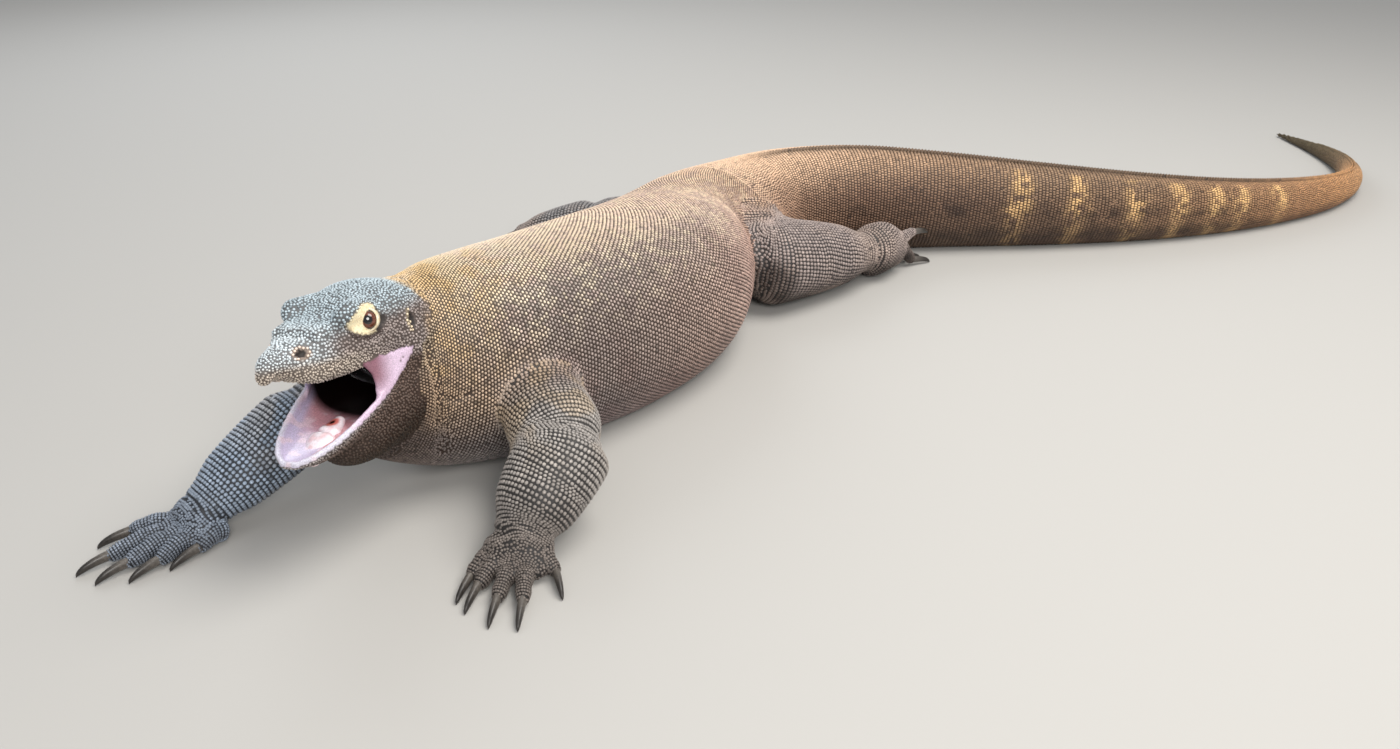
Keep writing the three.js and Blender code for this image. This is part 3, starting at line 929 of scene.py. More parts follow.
ARMS = {
    Side.LEFT: LimbShape(
        joints=((202, 84, 100), (283, 170, 80), (360, 163, 32)),
        thick=(40, 49, 35), turn=20, palm=18, raised=0, follow=0.45,
        digits=((-8, -25, -26, 33, 0), (-1, -15, -22, 38, 0), (7, -3, -6, 44, 0), (6, 10, 7, 47, 0),
                (-12, 15, 46, 32, 0)),
    ),
    Side.RIGHT: LimbShape(
        joints=((230, -60, 104), (338, -112, 78), (446, -146, 30)),
        thick=(40, 43, 31), turn=-20, palm=18, raised=0, follow=0.45,
        digits=((-19, 25, 16, 28, 0), (2, 16, 12, 41, 0), (10, 3, 4, 55, 0), (10, -10, -6, 63, 0),
                (5, -21, -28, 43, 0)),
    ),
}
LEGS = {
    Side.LEFT: LimbShape(
        joints=((-340, 80, 84), (-281, 160, 64), (-422, 268, 46)),
        thick=(62, 69, 38), turn=160, palm=52, raised=34, follow=1,
        digits=((10, -20, -8, 30, 48), (16, -8, -24, 34, 0), (14, 4, -16, 36, 0), (6, 14, -8, 34, 0),
                (-6, 20, 12, 28, 0)),
    ),
    Side.RIGHT: LimbShape(
        joints=((-336, -20, 72), (-322, -140, 58), (-292, -242, 34)),
        thick=(50, 45, 28), turn=-22, palm=44, raised=0, follow=0.8,
        digits=((2, 26, 22, 34, 0), (18, 20, 12, 50, 0), (26, 6, 5, 60, 0), (28, -8, -5, 66, 0),
                (10, -28, -34, 52, 0)),
    ),
}


# ------------------------------------------------------------------ markings
# Painted shade for the skin in the gaps between scales, brown on the body and slate on the limbs.
GAP_SHADE = linear(54, 33, 21)
SLATE_GAP_SHADE = linear(30, 28, 30)
# Tones along the body at each station: back, side and underside, as screen colours; the underside's dark tones are
# painted shade over the belly's own colour.
BODY_TONES = (
    ((128, 122, 112), (130, 106, 84), (72, 54, 42)),
    ((222, 194, 156), (180, 148, 112), (92, 72, 58)),
    ((246, 222, 182), (206, 172, 134), (98, 78, 62)),
    ((246, 226, 200), (200, 166, 138), (98, 76, 62)),
    ((236, 214, 188), (202, 166, 140), (112, 76, 56)),
    ((230, 206, 180), (204, 168, 144), (118, 78, 56)),
    ((222, 196, 172), (202, 166, 148), (104, 80, 68)),
    ((216, 188, 166), (192, 156, 140), (108, 86, 74)),
    ((208, 180, 156), (178, 144, 128), (106, 84, 72)),
    ((214, 182, 154), (170, 138, 118), (100, 80, 66)),
    ((228, 192, 160), (166, 132, 110), (104, 80, 66)),
    ((222, 186, 154), (150, 118, 96), (108, 84, 68)),
    ((194, 160, 130), (130, 100, 80), (98, 76, 62)),
    ((166, 134, 106), (114, 88, 70), (88, 70, 56)),
    ((148, 120, 94), (118, 92, 72), (80, 62, 50)),
    ((150, 121, 94), (134, 104, 80), (84, 66, 52)),
    ((160, 124, 92), (154, 118, 86), (102, 78, 58)),
    ((174, 132, 94), (170, 128, 92), (118, 86, 62)),
    ((188, 140, 95), (190, 142, 98), (134, 98, 70)),
    ((182, 138, 96), (186, 142, 100), (136, 102, 74)),
    ((118, 97, 71), (122, 100, 74), (90, 76, 58)),
    ((94, 81, 57), (94, 81, 57), (78, 66, 48)),
    ((82, 71, 49), (82, 71, 49), (70, 60, 42)),
)
TAIL_BANDS = (13.68, 14.28, 14.87, 15.37, 15.83, 16.15, 16.75)  # stations of the pale crossbands


@dataclass
class Places:
    """Points of the hide with the part, body station and angle from the top of each."""

    points: Array
    part: Array
    station: Array
    angle: Array


class Markings:
    """The colours of the hide, the same for the skin and for the scales over it."""

    def __init__(self) -> None:
        """Turns the tones into linear colours."""
        self.body = np.array([[linear(*tone) for tone in row] for row in BODY_TONES])

    def colour(self, places: Places) -> Array:
        """The linear colour at each place."""
        found = self.of_body(places)
        for side in Side:
            arm, hand, leg, foot = LIMB_PARTS[side]
            for limb, parts, of_limb in ((ARMS[side], (arm, hand), self.of_arm), (LEGS[side], (leg, foot), self.of_leg)):
                mine = np.isin(places.part, parts)
                if mine.any():
                    found[mine] = of_limb(places.points[mine], limb, side, found[mine])
        mine = np.isin(places.part, (Part.SKULL, Part.JAW, Part.MOUTH))
        if mine.any():
            found[mine] = self.of_head(places.points[mine], found[mine])
        return found

    def of_body(self, places: Places) -> Array:
        """Neck, trunk and tail: ochre, cream and brown, with pale bands on the tail and painted shade darkening the
        underside.
        """
        s, p = places.station, places.points
        turn = np.abs(places.angle) / math.pi
        wave = cell_noise(p, 34, 3) - 0.5
        low = np.clip(s, 0, len(self.body) - 1.001)
        i = low.astype(int)
        tones = self.body[i] + (self.body[i + 1] - self.body[i]) * (low - i)[:, None, None]
        blend = turn + 0.1 * wave
        colour = mix(tones[:, 0], tones[:, 1], ramp(0.1, 0.42, blend))
        # painted shade: the underside's tones darken it away from the light
        colour = mix(colour, tones[:, 2], ramp(0.5, 0.74, blend))
        ochre = ramp(0.42, 0.7, cell_noise(p, 15, 5)) * bump(s, 1.7, 1.5) * ramp(0.62, 0.3, turn)
        rust = bump(s, 4.9, 0.9) * bump(turn, 0.66, 0.12) * (s < 8)
        far_edge = ramp(0.07, 0.24, -places.angle / math.pi) * bump(s, 3.6, 3.0)
        on_back = ramp(0.45, 0.2, turn) * ramp(1.2, 2.6, s) * ramp(10.5, 8.5, s)
        net = 0.5 * cell_noise(p, 9, 41) + 0.5 * cell_noise(p, 4.5, 43)
        patchy = ramp(0.55, 0.75, cell_noise(p, 42, 45)) * ramp(2.0, 3.2, s) * ramp(10.0, 8.0, s)
        on_tail = ramp(11.2, 12.5, s) * ramp(17.0, 15.6, s)
        stripe = bump(turn, 0.46 + 0.03 * wave, 0.06) + 0.8 * bump(turn, 0.7, 0.08)
        broken = 0.2 + 0.8 * ramp(0.35, 0.65, cell_noise(p, 17, 9))
        bands = sum(bump(s + 0.12 * wave, band, 0.085) for band in TAIL_BANDS)
        shown = ramp(0.2, 0.6, cell_noise(p, 9, 11)) * ramp(0.08, 0.16, turn)
        shown = shown * (1 - 0.7 * ramp(0.36, 0.58, turn))
        crest = bump(turn, 0.0, 0.04) * ramp(9.8, 11.2, s) * ramp(18.5, 16.5, s)
        return painted(
            colour,
            ((244, 204, 140), 0.6 * ochre),
            ((150, 84, 48), 0.5 * rust),
            ((122, 120, 122), 0.75 * far_edge),
            ((178, 156, 148), 0.5 * ramp(0.5, 0.36, net) * on_back),
            ((250, 232, 200), 0.4 * ramp(0.52, 0.66, net) * on_back),
            ((126, 100, 96), 0.32 * patchy * ramp(0.15, 0.35, turn)),
            ((62, 46, 38), np.clip(0.78 * stripe * broken * on_tail, 0, 1)),
            ((250, 204, 142), np.clip(0.9 * bands * shown, 0, 1) * ramp(12.6, 13.8, s)),
            ((66, 50, 36), 0.85 * crest),
        )

    def speckle(self, places: Places, chance: Array, odd: Array) -> Array:
        """How much brighter or darker than its marking each scale is.

        Args:
            places: Where the scales are.
            chance: A random number from 0 to 1 for each.
            odd: Another one.

        Returns:
            One factor for each.
        """
        s, part = places.station, places.part
        body = part == Part.BODY
        head = np.isin(part, (Part.SKULL, Part.JAW))
        neck = body * ramp(4.2, 2.2, s)
        tail = body * ramp(9.0, 11.5, s)
        spread = 0.16 + 0.1 * neck + 0.02 * head
        factor = 1 + spread * (2 * chance - 1)
        dark = 0.008 + 0.07 * neck + 0.02 * head
        factor = np.where(odd < dark, 0.5 * factor, factor)
        pale = 0.04 + 0.05 * neck + 0.02 * head
        factor = np.where(odd > 1 - pale, 1.2 * factor, factor)
        return factor * (1 + 0.24 * neck) * (1 + 0.3 * (cell_noise(places.points, 6, 37) - 0.5))

    def of_arm(self, points: Array, limb: LimbShape, side: Side, body: Array) -> Array:
        """Forelegs: brown at the shoulder, slate down the forearm and dark at the hand, with painted shade along the
        underside.
        """
        left = side is Side.LEFT
        shoulder, elbow, wrist = np.array(limb.joints, float)
        along = norms(points - shoulder) / np.linalg.norm(wrist - shoulder)
        height = points[:, 2] - np.interp(along, (0, 0.5, 1, 2), (shoulder[2], elbow[2], wrist[2], 10))
        warm = ramp(0.45, 0.7, cell_noise(points, 24, 13)) * ramp(0.95, 0.5, along)
        return painted(
            body,
            ((152, 146, 141) if left else (150, 164, 182), ramp(0.25, 0.6, along)),
            ((108, 99, 93) if left else (122, 130, 142), ramp(0.8, 1.15, along)),
            # painted shade on the underside, below the line through the joints
            ((54, 46, 42), 0.85 * ramp(-4, -32, height) * (points[:, 2] > 8)),
            ((176, 152, 118), 0.4 * warm),
        )

    def of_leg(self, points: Array, limb: LimbShape, side: Side, body: Array) -> Array:
        """Hind legs: slate brown over the knee, paler on the sole, with painted shade near the floor and a painted
        shadow of the belly over the front of the knee.
        """
        hip, _, ankle = np.array(limb.joints, float)
        away = norms(points - hip)
        shown = ramp(35, 95, away) * ramp(134, 116, points[:, 2] - 6 * cell_noise(points, 12, 47))
        # painted shade: darker near the floor
        low = ramp(58, 16, points[:, 2])
        # painted shadow cast by the belly over the front of the knee
        front = ramp(-268, -240, points[:, 0]) * ramp(96, 70, points[:, 2])
        foot = ramp(70, 30, norms(points - ankle))
        return painted(
            body,
            ((150, 136, 131) if side is Side.LEFT else (132, 128, 127), shown),
            ((40, 28, 20), 0.9 * low * ramp(50, 95, away)),
            ((56, 42, 34), 0.8 * front),
            ((150, 132, 120), 0.6 * foot * (1 - low)),
            ((170, 152, 142), 0.3 * ramp(0.4, 0.75, cell_noise(points, 18, 17))),
        )

    def of_head(self, points: Array, body: Array) -> Array:
        """Blue grey above, brown on the cheeks and throat with painted shade darkening the throat below the jaw, pale
        lips, a cream eye surround and painted shade in the groove under each eye.
        """
        h, j = HEAD_FRAME.inward(points), JAW_FRAME.inward(points)
        folded = np.stack([h[:, 0], np.abs(h[:, 1]), h[:, 2]], 1)
        x, z = h[:, 0], h[:, 2]
        snout = ramp(-64, -30, x) * ramp(2, 12, z)
        lips = ramp(16, 2, z) * ramp(-115, -60, x) * ramp(-12, -4, z)
        warm = ramp(0.5, 0.75, cell_noise(points, 14, 23)) * ramp(-150, -175, x)
        below = ramp(8, -2, j[:, 2]) * ramp(0, -10, z)
        # the throat's brown, kept dark under the jaw as painted shade and darker still towards its bottom as a painted
        # shadow in its fold
        throat = painted(plain((86, 70, 62), points), ((46, 33, 22), ramp(-20, -58, j[:, 2])))
        chin = ramp(-14, -4, j[:, 2]) * ramp(30, 60, j[:, 0]) * below
        gap = eye_ring(h)
        under, ear = (distance_to_line(folded, np.array(line, float))
                      for line in (HeadShape.under_eye, HeadShape.ear_rim))
        nose = norms((folded - np.array(HeadShape.nostril[0])) * (1, 0.6, 1.3))
        colour = painted(
            plain((132, 121, 117), points),
            ((154, 166, 172), ramp(24, 44, z + 0.16 * x + 14)),
            ((184, 192, 196), 0.9 * snout),
            ((166, 154, 142), lips),
            ((190, 160, 116), warm),
        )
        colour = painted(
            mix(colour, throat, below),
            ((150, 142, 140), chin),
            ((248, 234, 196), ramp(1.12, 0.96, gap + 0.1 * (cell_noise(points, 4, 29) - 0.5))),
            ((220, 182, 132), 0.4 * ramp(0.45, 0.7, cell_noise(points, 3, 53)) * (gap < 1)),
            # painted shade along the groove under the eye
            ((52, 38, 34), 0.8 * ramp(3.4, 1.6, under)),
            ((228, 206, 190), ramp(9.5, 7.5, nose)),
            ((226, 208, 178), 0.85 * ramp(3.2, 2.0, ear)),
        )
        return mix(colour, body, ramp(-166, -186, x) * ramp(-20, 0, z))

    def interstice(self, places: Places, colour: Array) -> Array:
        """The colour of the skin between the scales: its own colour darkened by painted shade in the gaps."""
        limb = (places.part >= Part.ARM_LEFT)[:, None]
        gap = np.where(limb, SLATE_GAP_SHADE, GAP_SHADE)
        head = np.isin(places.part, (Part.SKULL, Part.JAW))[:, None]
        # painted shade in the gaps between scales, lighter on the head
        gap_shade = np.where(head, 0.28 * colour + 0.5 * gap, 0.1 * colour + 0.6 * gap)
        ring = eye_ring(HEAD_FRAME.inward(places.points))
        gap_shade = np.where((ring < BARE_EYE)[:, None] & head, colour, gap_shade)
        # the openings of nostrils, ears and eye sockets, and skin of no part, are painted near black as shade
        bare = np.isin(places.part, (Part.HOLE, Part.NONE))[:, None]
        return np.where(bare, linear(34, 24, 20), gap_shade)


@dataclass(frozen=True)
class MouthTones:
    """Colours of the mouth's lining from the lip inwards, ending in near black painted shade deep in the throat."""

    lip: tuple = (214, 210, 224)
    band: tuple = (206, 194, 222)
    lining: tuple = (214, 158, 166)
    gum: tuple = (238, 212, 220)
    sheet: tuple = (214, 190, 212)
    inner: tuple = (122, 64, 76)
    # near black painted shade deep in the throat
    throat: tuple = (16, 8, 7)

    def colour(self, points: Array, depth: Array) -> Array:
        """The lining's colour.

        Args:
            points: Places on the lining.
            depth: How far each lies inside the cavity's edge, in the jaw's frame.

        Returns:
            Linear colours.
        """
        h, j = HEAD_FRAME.inward(points), JAW_FRAME.inward(points)
        left = j[:, 1] >= 10
        far = ramp(7.0, 16.0, depth) * np.where(left, 1, ramp(-10, -24, j[:, 2]))
        sheet = ramp(30, 38, h[:, 1]) * ramp(-50, -70, h[:, 0])
        sheet = np.clip(sheet + 0.7 * ramp(36, 42, j[:, 1]) * ramp(60, 40, j[:, 0]), 0, 1)
        inner = ramp(-116, -92, h[:, 0]) * ramp(-42, -16, h[:, 2])
        return painted(
            plain(self.lip, points),
            (self.band, ramp(1.5, 5.0, depth) * ~left),
            (self.gum, ramp(2.0, 7.0, depth) * left),
            (self.lining, far),
            (self.gum, 0.6 * ramp(0.55, 0.8, cell_noise(points, 7, 31))),
            (self.sheet, sheet),
            (self.inner, 0.85 * inner * sheet),
            # painted shade: near black towards the back of the throat
            (self.throat, ramp(66, 44, j[:, 0] + 0.3 * (j[:, 2] + 30)) * ramp(39, 33, j[:, 1])),
        )


LIMB_PARTS = {
    Side.LEFT: (Part.ARM_LEFT, Part.HAND_LEFT, Part.LEG_LEFT, Part.FOOT_LEFT),
    Side.RIGHT: (Part.ARM_RIGHT, Part.HAND_RIGHT, Part.LEG_RIGHT, Part.FOOT_RIGHT),
}


# ------------------------------------------------------------------ finishes
class Sketch:
    """A small helper that adds and joins nodes in a tree."""

    def __init__(self, tree: NodeTree) -> None:
        """Works in one tree."""
        self.tree = tree

    def add(self, kind: str, **settings) -> Node:
        """A node with its properties set; inputs are given as in_NAME or in_NUMBER."""
        node = self.tree.nodes.new(kind)
        for key, value in settings.items():
            if key.startswith("in_"):
                name = key[3:]
                node.inputs[int(name) if name.isdigit() else name.replace("_", " ")].default_value = value
            else:
                setattr(node, key, value)
        return node

    def join(self, source: Node, out: str, target: Node, into: str | int) -> None:
        """Links an output of one node to an input of another."""
        self.tree.links.new(source.outputs[out], target.inputs[into])


def new_material(name: str) -> tuple[Material, Sketch, Node]:
    """A material with one Principled shader joined to its output."""
    material = bpy.data.materials.new(name)
    material.use_nodes = True
    material.node_tree.nodes.clear()
    sketch = Sketch(material.node_tree)
    shader = sketch.add("ShaderNodeBsdfPrincipled")
    sketch.join(shader, "BSDF", sketch.add("ShaderNodeOutputMaterial"), "Surface")
    return material, sketch, shader


@dataclass(frozen=True)
class Finish:
    """A surface whose colour is its marking, mottled by a fine grain."""

    name: str
    grain: float
    detail: float
    shade: tuple[float, float]  # darkest and brightest share of the marking
    roughness: tuple[float, float]
    relief: float = 0.0  # strength of the grain's relief
    depth: float = 0.0003
    # painted shade towards the rim of each scale, as the share it darkens there
    rim_dark: float = 0.0
    wet_roughness: float = 0.0  # where the wet attribute is 1
    coat: float = 0.0

    def material(self) -> Material:
        """Builds the material."""
        material, sketch, shader = new_material(self.name)
        marking = sketch.add("ShaderNodeAttribute", attribute_name="marking")
        noise = sketch.add("ShaderNodeTexNoise", in_Scale=self.grain, in_Detail=self.detail)
        sketch.join(sketch.add("ShaderNodeTexCoord"), "Object", noise, "Vector")
        level = sketch.add("ShaderNodeMapRange", in_From_Min=0.3, in_From_Max=0.7,
                           in_To_Min=self.shade[0], in_To_Max=self.shade[1])
        sketch.join(noise, "Fac", level, "Value")
        tinted = sketch.add("ShaderNodeVectorMath", operation="SCALE")
        sketch.join(marking, "Color", tinted, 0)
        sketch.join(*self.rimmed(sketch, level), tinted, "Scale")
        sketch.join(tinted, "Vector", shader, "Base Color")
        rough = sketch.add("ShaderNodeMapRange", in_To_Min=self.roughness[0], in_To_Max=self.roughness[1])
        sketch.join(noise, "Fac", rough, "Value")
        sketch.join(*self.dampened(sketch, rough), shader, "Roughness")
        if self.relief:
            relief = sketch.add("ShaderNodeBump", in_Strength=self.relief, in_Distance=self.depth)
            sketch.join(noise, "Fac", relief, "Height")
            sketch.join(relief, "Normal", shader, "Normal")
        if self.coat:
            shader.inputs["Coat Weight"].default_value = self.coat
            shader.inputs["Coat Roughness"].default_value = 0.04
        return material

    def rimmed(self, sketch: Sketch, level: Node) -> tuple[Node, str]:
        """The grain's mottling, darkened by painted shade towards the rim of each scale, as a node and its output."""
        if not self.rim_dark:
            return level, "Result"
        shade = sketch.add("ShaderNodeMapRange", in_To_Min=1.0, in_To_Max=1 - self.rim_dark)
        both = sketch.add("ShaderNodeMath", operation="MULTIPLY")
        sketch.join(sketch.add("ShaderNodeAttribute", attribute_name="rim"), "Fac", shade, "Value")
        sketch.join(level, "Result", both, 0)
        sketch.join(shade, "Result", both, 1)
        return both, "Value"

    def dampened(self, sketch: Sketch, rough: Node) -> tuple[Node, str]:
        """The roughness, lower where the surface is wet, as a node and its output."""
        if not self.wet_roughness:
            return rough, "Result"
        choice = sketch.add("ShaderNodeMix", data_type="FLOAT", in_B=self.wet_roughness)
        sketch.join(sketch.add("ShaderNodeAttribute", attribute_name="wet"), "Fac", choice, "Factor")
        sketch.join(rough, "Result", choice, "A")
        return choice, "Result"


# Scales of the hide and the lids get painted shade towards their rims.
HIDE = Finish("scaled_hide", 900.0, 2.0, (0.78, 1.22), (0.42, 0.62), relief=0.25, rim_dark=0.72)
BARE_SKIN = replace(HIDE, name="bare_skin", roughness=(0.5, 0.7), wet_roughness=0.16)
LID_SKIN = replace(HIDE, name="lid_skin", shade=(0.85, 1.15))
HORN = Finish("claw_horn", 420.0, 4.0, (0.7, 1.35), (0.24, 0.46), relief=0.2, depth=0.0002)
EYE_SURFACE = Finish("eye_surface", 500.0, 3.0, (0.94, 1.06), (0.05, 0.05), coat=1.0)
WET_TONGUE = Finish("wet_tongue", 500.0, 3.0, (0.88, 1.12), (0.2, 0.2), coat=0.6)


# ------------------------------------------------------------------ pieces
def make_piece(name: str, points: Array, faces: list | Array,
               material: Material) -> Object:
    """A smooth mesh piece that rides on the body.

    Args:
        name: The piece's name.
        points: Its vertices in millimetres.
        faces: Its faces.
        material: Its finish.

    Returns:
        The piece.
    """
    mesh = bpy.data.meshes.new(name)
    mesh.from_pydata((points * MM).tolist(), [], faces.tolist() if isinstance(faces, Array) else faces)
    mesh.update()
    mesh.shade_smooth()
    mesh.materials.append(material)
    piece = in_scene(name, mesh)
    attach(piece, BODY_NAME)
    log.info("%s: %d vertices, %d faces", name, len(mesh.vertices), len(mesh.polygons))
    return piece


def in_scene(name: str, data: ID) -> Object:
    """A new object with that data in the scene."""
    made = bpy.data.objects.new(name, data)
    bpy.context.scene.collection.objects.link(made)
    return made


def give(mesh: Mesh, name: str, values: Array) -> None:
    """Stores a number, a vector or a colour of four channels at each vertex."""
    kinds = {1: ("FLOAT", "value"), 3: ("FLOAT_VECTOR", "vector"), 4: ("FLOAT_COLOR", "color")}
    kind, key = kinds[values.size // len(values)]
    mesh.attributes.new(name, kind, "POINT").data.foreach_set(key, values.ravel().astype(np.float32))


def give_marking(mesh: Mesh, colour: Array) -> None:
    """Stores the marking, a linear colour at each vertex."""
    give(mesh, "marking", np.hstack([np.clip(colour, 0, 1), np.ones((len(colour), 1))]))


def vertices_of(mesh: Mesh) -> Array:
    """A mesh's vertices in millimetres, three columns."""
    spots = np.empty(3 * len(mesh.vertices))
    mesh.vertices.foreach_get("co", spots)
    return spots.reshape(-1, 3) / MM


def ring_faces(pairs: list[tuple[int, int]], around: int) -> list:
    """Faces between pairs of rings of points."""
    return [(i * around + k, i * around + n, j * around + n, j * around + k)
            for i, j in pairs for k, n in neighbours(around)]


def neighbours(around: int) -> list[tuple[int, int]]:
    """Each point of a ring with the next one."""
    return [(k, (k + 1) % around) for k in range(around)]


def lathe_faces(rings: int, around: int) -> list:
    """Faces of rings of points that end in one point at each end."""
    faces = ring_faces([(i, i + 1) for i in range(rings - 1)], around)
    start, end, last = rings * around, rings * around + 1, (rings - 1) * around
    for k, n in neighbours(around):
        faces += [(start, n, k), (end, last + k, last + n)]
    return faces


def sweep_mesh(sweep: Sweep, around: int) -> tuple[Array, list]:
    """Vertices and faces of a sweep with domed ends, in the part's frame."""
    turn = np.linspace(0, 2 * math.pi, around, endpoint=False)
    dome = (0.35, 0.72, 0.93)

    def ring(i: int, share: float, shift: float) -> Array:
        across, up = sweep.section(turn, sweep.half[i], sweep.above[i], sweep.below[i])
        centre = sweep.centre[i] + sweep.tangent[i] * shift
        return centre + np.outer(share * across, sweep.side[i]) + np.outer(share * up, sweep.rise[i])

    last = sweep.spans
    rings = [ring(0, share, -sweep.caps[0] * math.sqrt(1 - share**2)) for share in dome]
    rings += [ring(i, 1.0, 0.0) for i in range(last + 1)]
    rings += [ring(last, share, sweep.caps[1] * math.sqrt(1 - share**2)) for share in dome[::-1]]
    ends = np.array([
        sweep.centre[0] - sweep.tangent[0] * sweep.caps[0],
        sweep.centre[last] + sweep.tangent[last] * sweep.caps[1],
    ])
    faces = [face[::-1] for face in lathe_faces(len(rings), around)]
    return sweep.frame.outward(np.vstack([*rings, ends])), faces


# ------------------------------------------------------------------ skin
@dataclass(frozen=True)
class Fold:
    """A crease of loose skin: its line in the part's frame, its half width and depth."""

    line: tuple
    width: float
    depth: float


@dataclass
class Hide:
    """The one skin of the whole animal, with the field that it comes from."""

    x_stops: tuple = ((-1532, 9), (-575, 4.6), (-385, 7), (-330, 4.6), (-175, 7), (195, 4), (268, 1.9), (468, 2.8))
    x_end: float = 566
    y_stops: tuple = ((-345, 4.4), (-205, 3.6), (-90, 1.9), (72, 3.6), (330, 8))
    y_end: float = 992
    z_stops: tuple = ((-3, 2.8), (50, 2.3))
    z_end: float = 268
    head_box: tuple = ((200, -130, 0), (510, 120, 268))
    arm_blend: float = 20.0
    leg_blend: float = 24.0
    floor_rounding: float = 5.0
    corner_reach: float = 17.0
    most_triangles: int = 190_000
    folds: tuple = (
        Fold(((303, 36, 178), (306, 44, 148), (310, 47, 112), (305, 39, 58)), 4.5, 8.0),
        Fold(((306, 49, 125), (296, 57, 120), (285, 66, 122)), 4.0, 3.0),
        Fold(((372, 33, 140), (352, 40, 116), (328, 36, 88)), 3.0, 1.3),
        Fold(((360, 40, 150), (340, 47, 126), (318, 42, 100)), 3.0, 1.3),
    )
    body: BodyShape = field(default_factory=BodyShape)
    head: HeadShape = field(default_factory=HeadShape)

    def __post_init__(self) -> None:
        """Builds the field."""
        stops = ((self.x_stops, self.x_end), (self.y_stops, self.y_end), (self.z_stops, self.z_end))
        self.field = SkinField([stepped_axis(list(s), end) for s, end in stops])
        self.sweep = self.body.sweep()
        self.field.add(self.sweep, 0.0, Part.BODY)
        centre, radii = (np.array(row) for row in self.body.hips)
        self.field.ball(centre, radii, WORLD, 36.0, Part.BODY)
        patch = self.field.patch(*(np.array(corner, float) for corner in self.head_box))
        self.head.add_to(patch)
        for side in Side:
            arm, hand, leg, foot = LIMB_PARTS[side]
            ARMS[side].add_to(self.field, arm, hand, self.arm_blend)
            LEGS[side].add_to(self.field, leg, foot, self.leg_blend)
        self.field.merge(patch)
        self.head.hollow_in(self.field)
        self.head.fold(self.field)
        for fold in self.folds:
            self.field.press(curve_through(fold.line), fold.width, fold.depth)
        self.field.rest_on_floor(self.floor_rounding)
        self.lip = self.head.lip_line()

    def places(self, points: Array) -> Places:
        """Part, station and angle of points near the skin."""
        ring, angle = self.sweep.locate(points)
        return Places(points, self.field.owner_at(points), ring / self.body.steps, angle)

    def quads(self) -> tuple[Array, Array]:
        """The field's surface as vertices and outward faces."""
        points, quads = self.field.surface()
        a, b, c, d = (points[quads[:, k]] for k in range(4))
        normal = np.cross(c - a, d - b)
        centre = (a + b + c + d) / 4
        outward = (normal * self.field.slope(centre)).sum(1).mean() > 0
        return points, quads if outward else quads[:, ::-1]

    def make(self, markings: Markings, finish: Material) -> Object:
        """The skin piece, coloured like the coat but darkened by painted shade where it shows between the scales."""
        points, quads = self.quads()
        piece = make_piece("skin", points, quads, finish)
        triangles = 2 * len(quads)
        if triangles > self.most_triangles:
            self.thin(piece, self.most_triangles / triangles)
        mesh = piece.data
        spots = vertices_of(mesh)
        places = self.places(spots)
        colour = markings.interstice(places, markings.colour(places))
        depth = distance_to_line(spots, self.lip)
        lining = (places.part == Part.MOUTH) | (depth < HeadShape.lip_roll + 0.9) | self.at_corner(spots)
        colour[lining] = MouthTones().colour(spots[lining], depth[lining])
        give_marking(mesh, colour)
        give(mesh, "wet", lining.astype(float))
        give(mesh, "rim", np.zeros(len(spots)))
        log.info("skin: %d triangles", sum(len(p.vertices) - 2 for p in mesh.polygons))
        return piece

    def at_corner(self, points: Array) -> Array:
        """Which points lie at a corner of the mouth, where the lining comes to the edge."""
        local = HEAD_FRAME.inward(points)
        local[:, 1] = np.abs(local[:, 1])
        away = local - np.array(self.head.corner)
        wedge = (away[:, 2] < 1.5) & (away[:, 2] > -0.62 * away[:, 0] - 1)
        return (norms(away) < self.corner_reach) & (away[:, 0] > -1.5) & wedge

    def thin(self, piece: Object, ratio: float) -> None:
        """Joins the smallest faces, most of all away from the head."""
        owner = self.field.owner_at(vertices_of(piece.data))
        group = piece.vertex_groups.new(name="keep")
        head = np.flatnonzero(np.isin(owner, (Part.SKULL, Part.JAW, Part.MOUTH)))
        group.add(head.tolist(), 1.0, "REPLACE")
        modifier = piece.modifiers.new("thin", "DECIMATE")
        modifier.ratio = ratio
        modifier.vertex_group = "keep"
        modifier.invert_vertex_group = True
        modifier.vertex_group_factor = 3.0
        replace_by_result(piece)
        piece.vertex_groups.clear()


def replace_by_result(piece: Object) -> None:
    """Turns an object's modifiers into its mesh."""
    depsgraph = bpy.context.evaluated_depsgraph_get()
    mesh = bpy.data.meshes.new_from_object(piece.evaluated_get(depsgraph), preserve_all_data_layers=True,
                                           depsgraph=depsgraph)
    old = piece.data
    piece.modifiers.clear()
    piece.data = mesh
    mesh.name = piece.name
    bpy.data.meshes.remove(old)


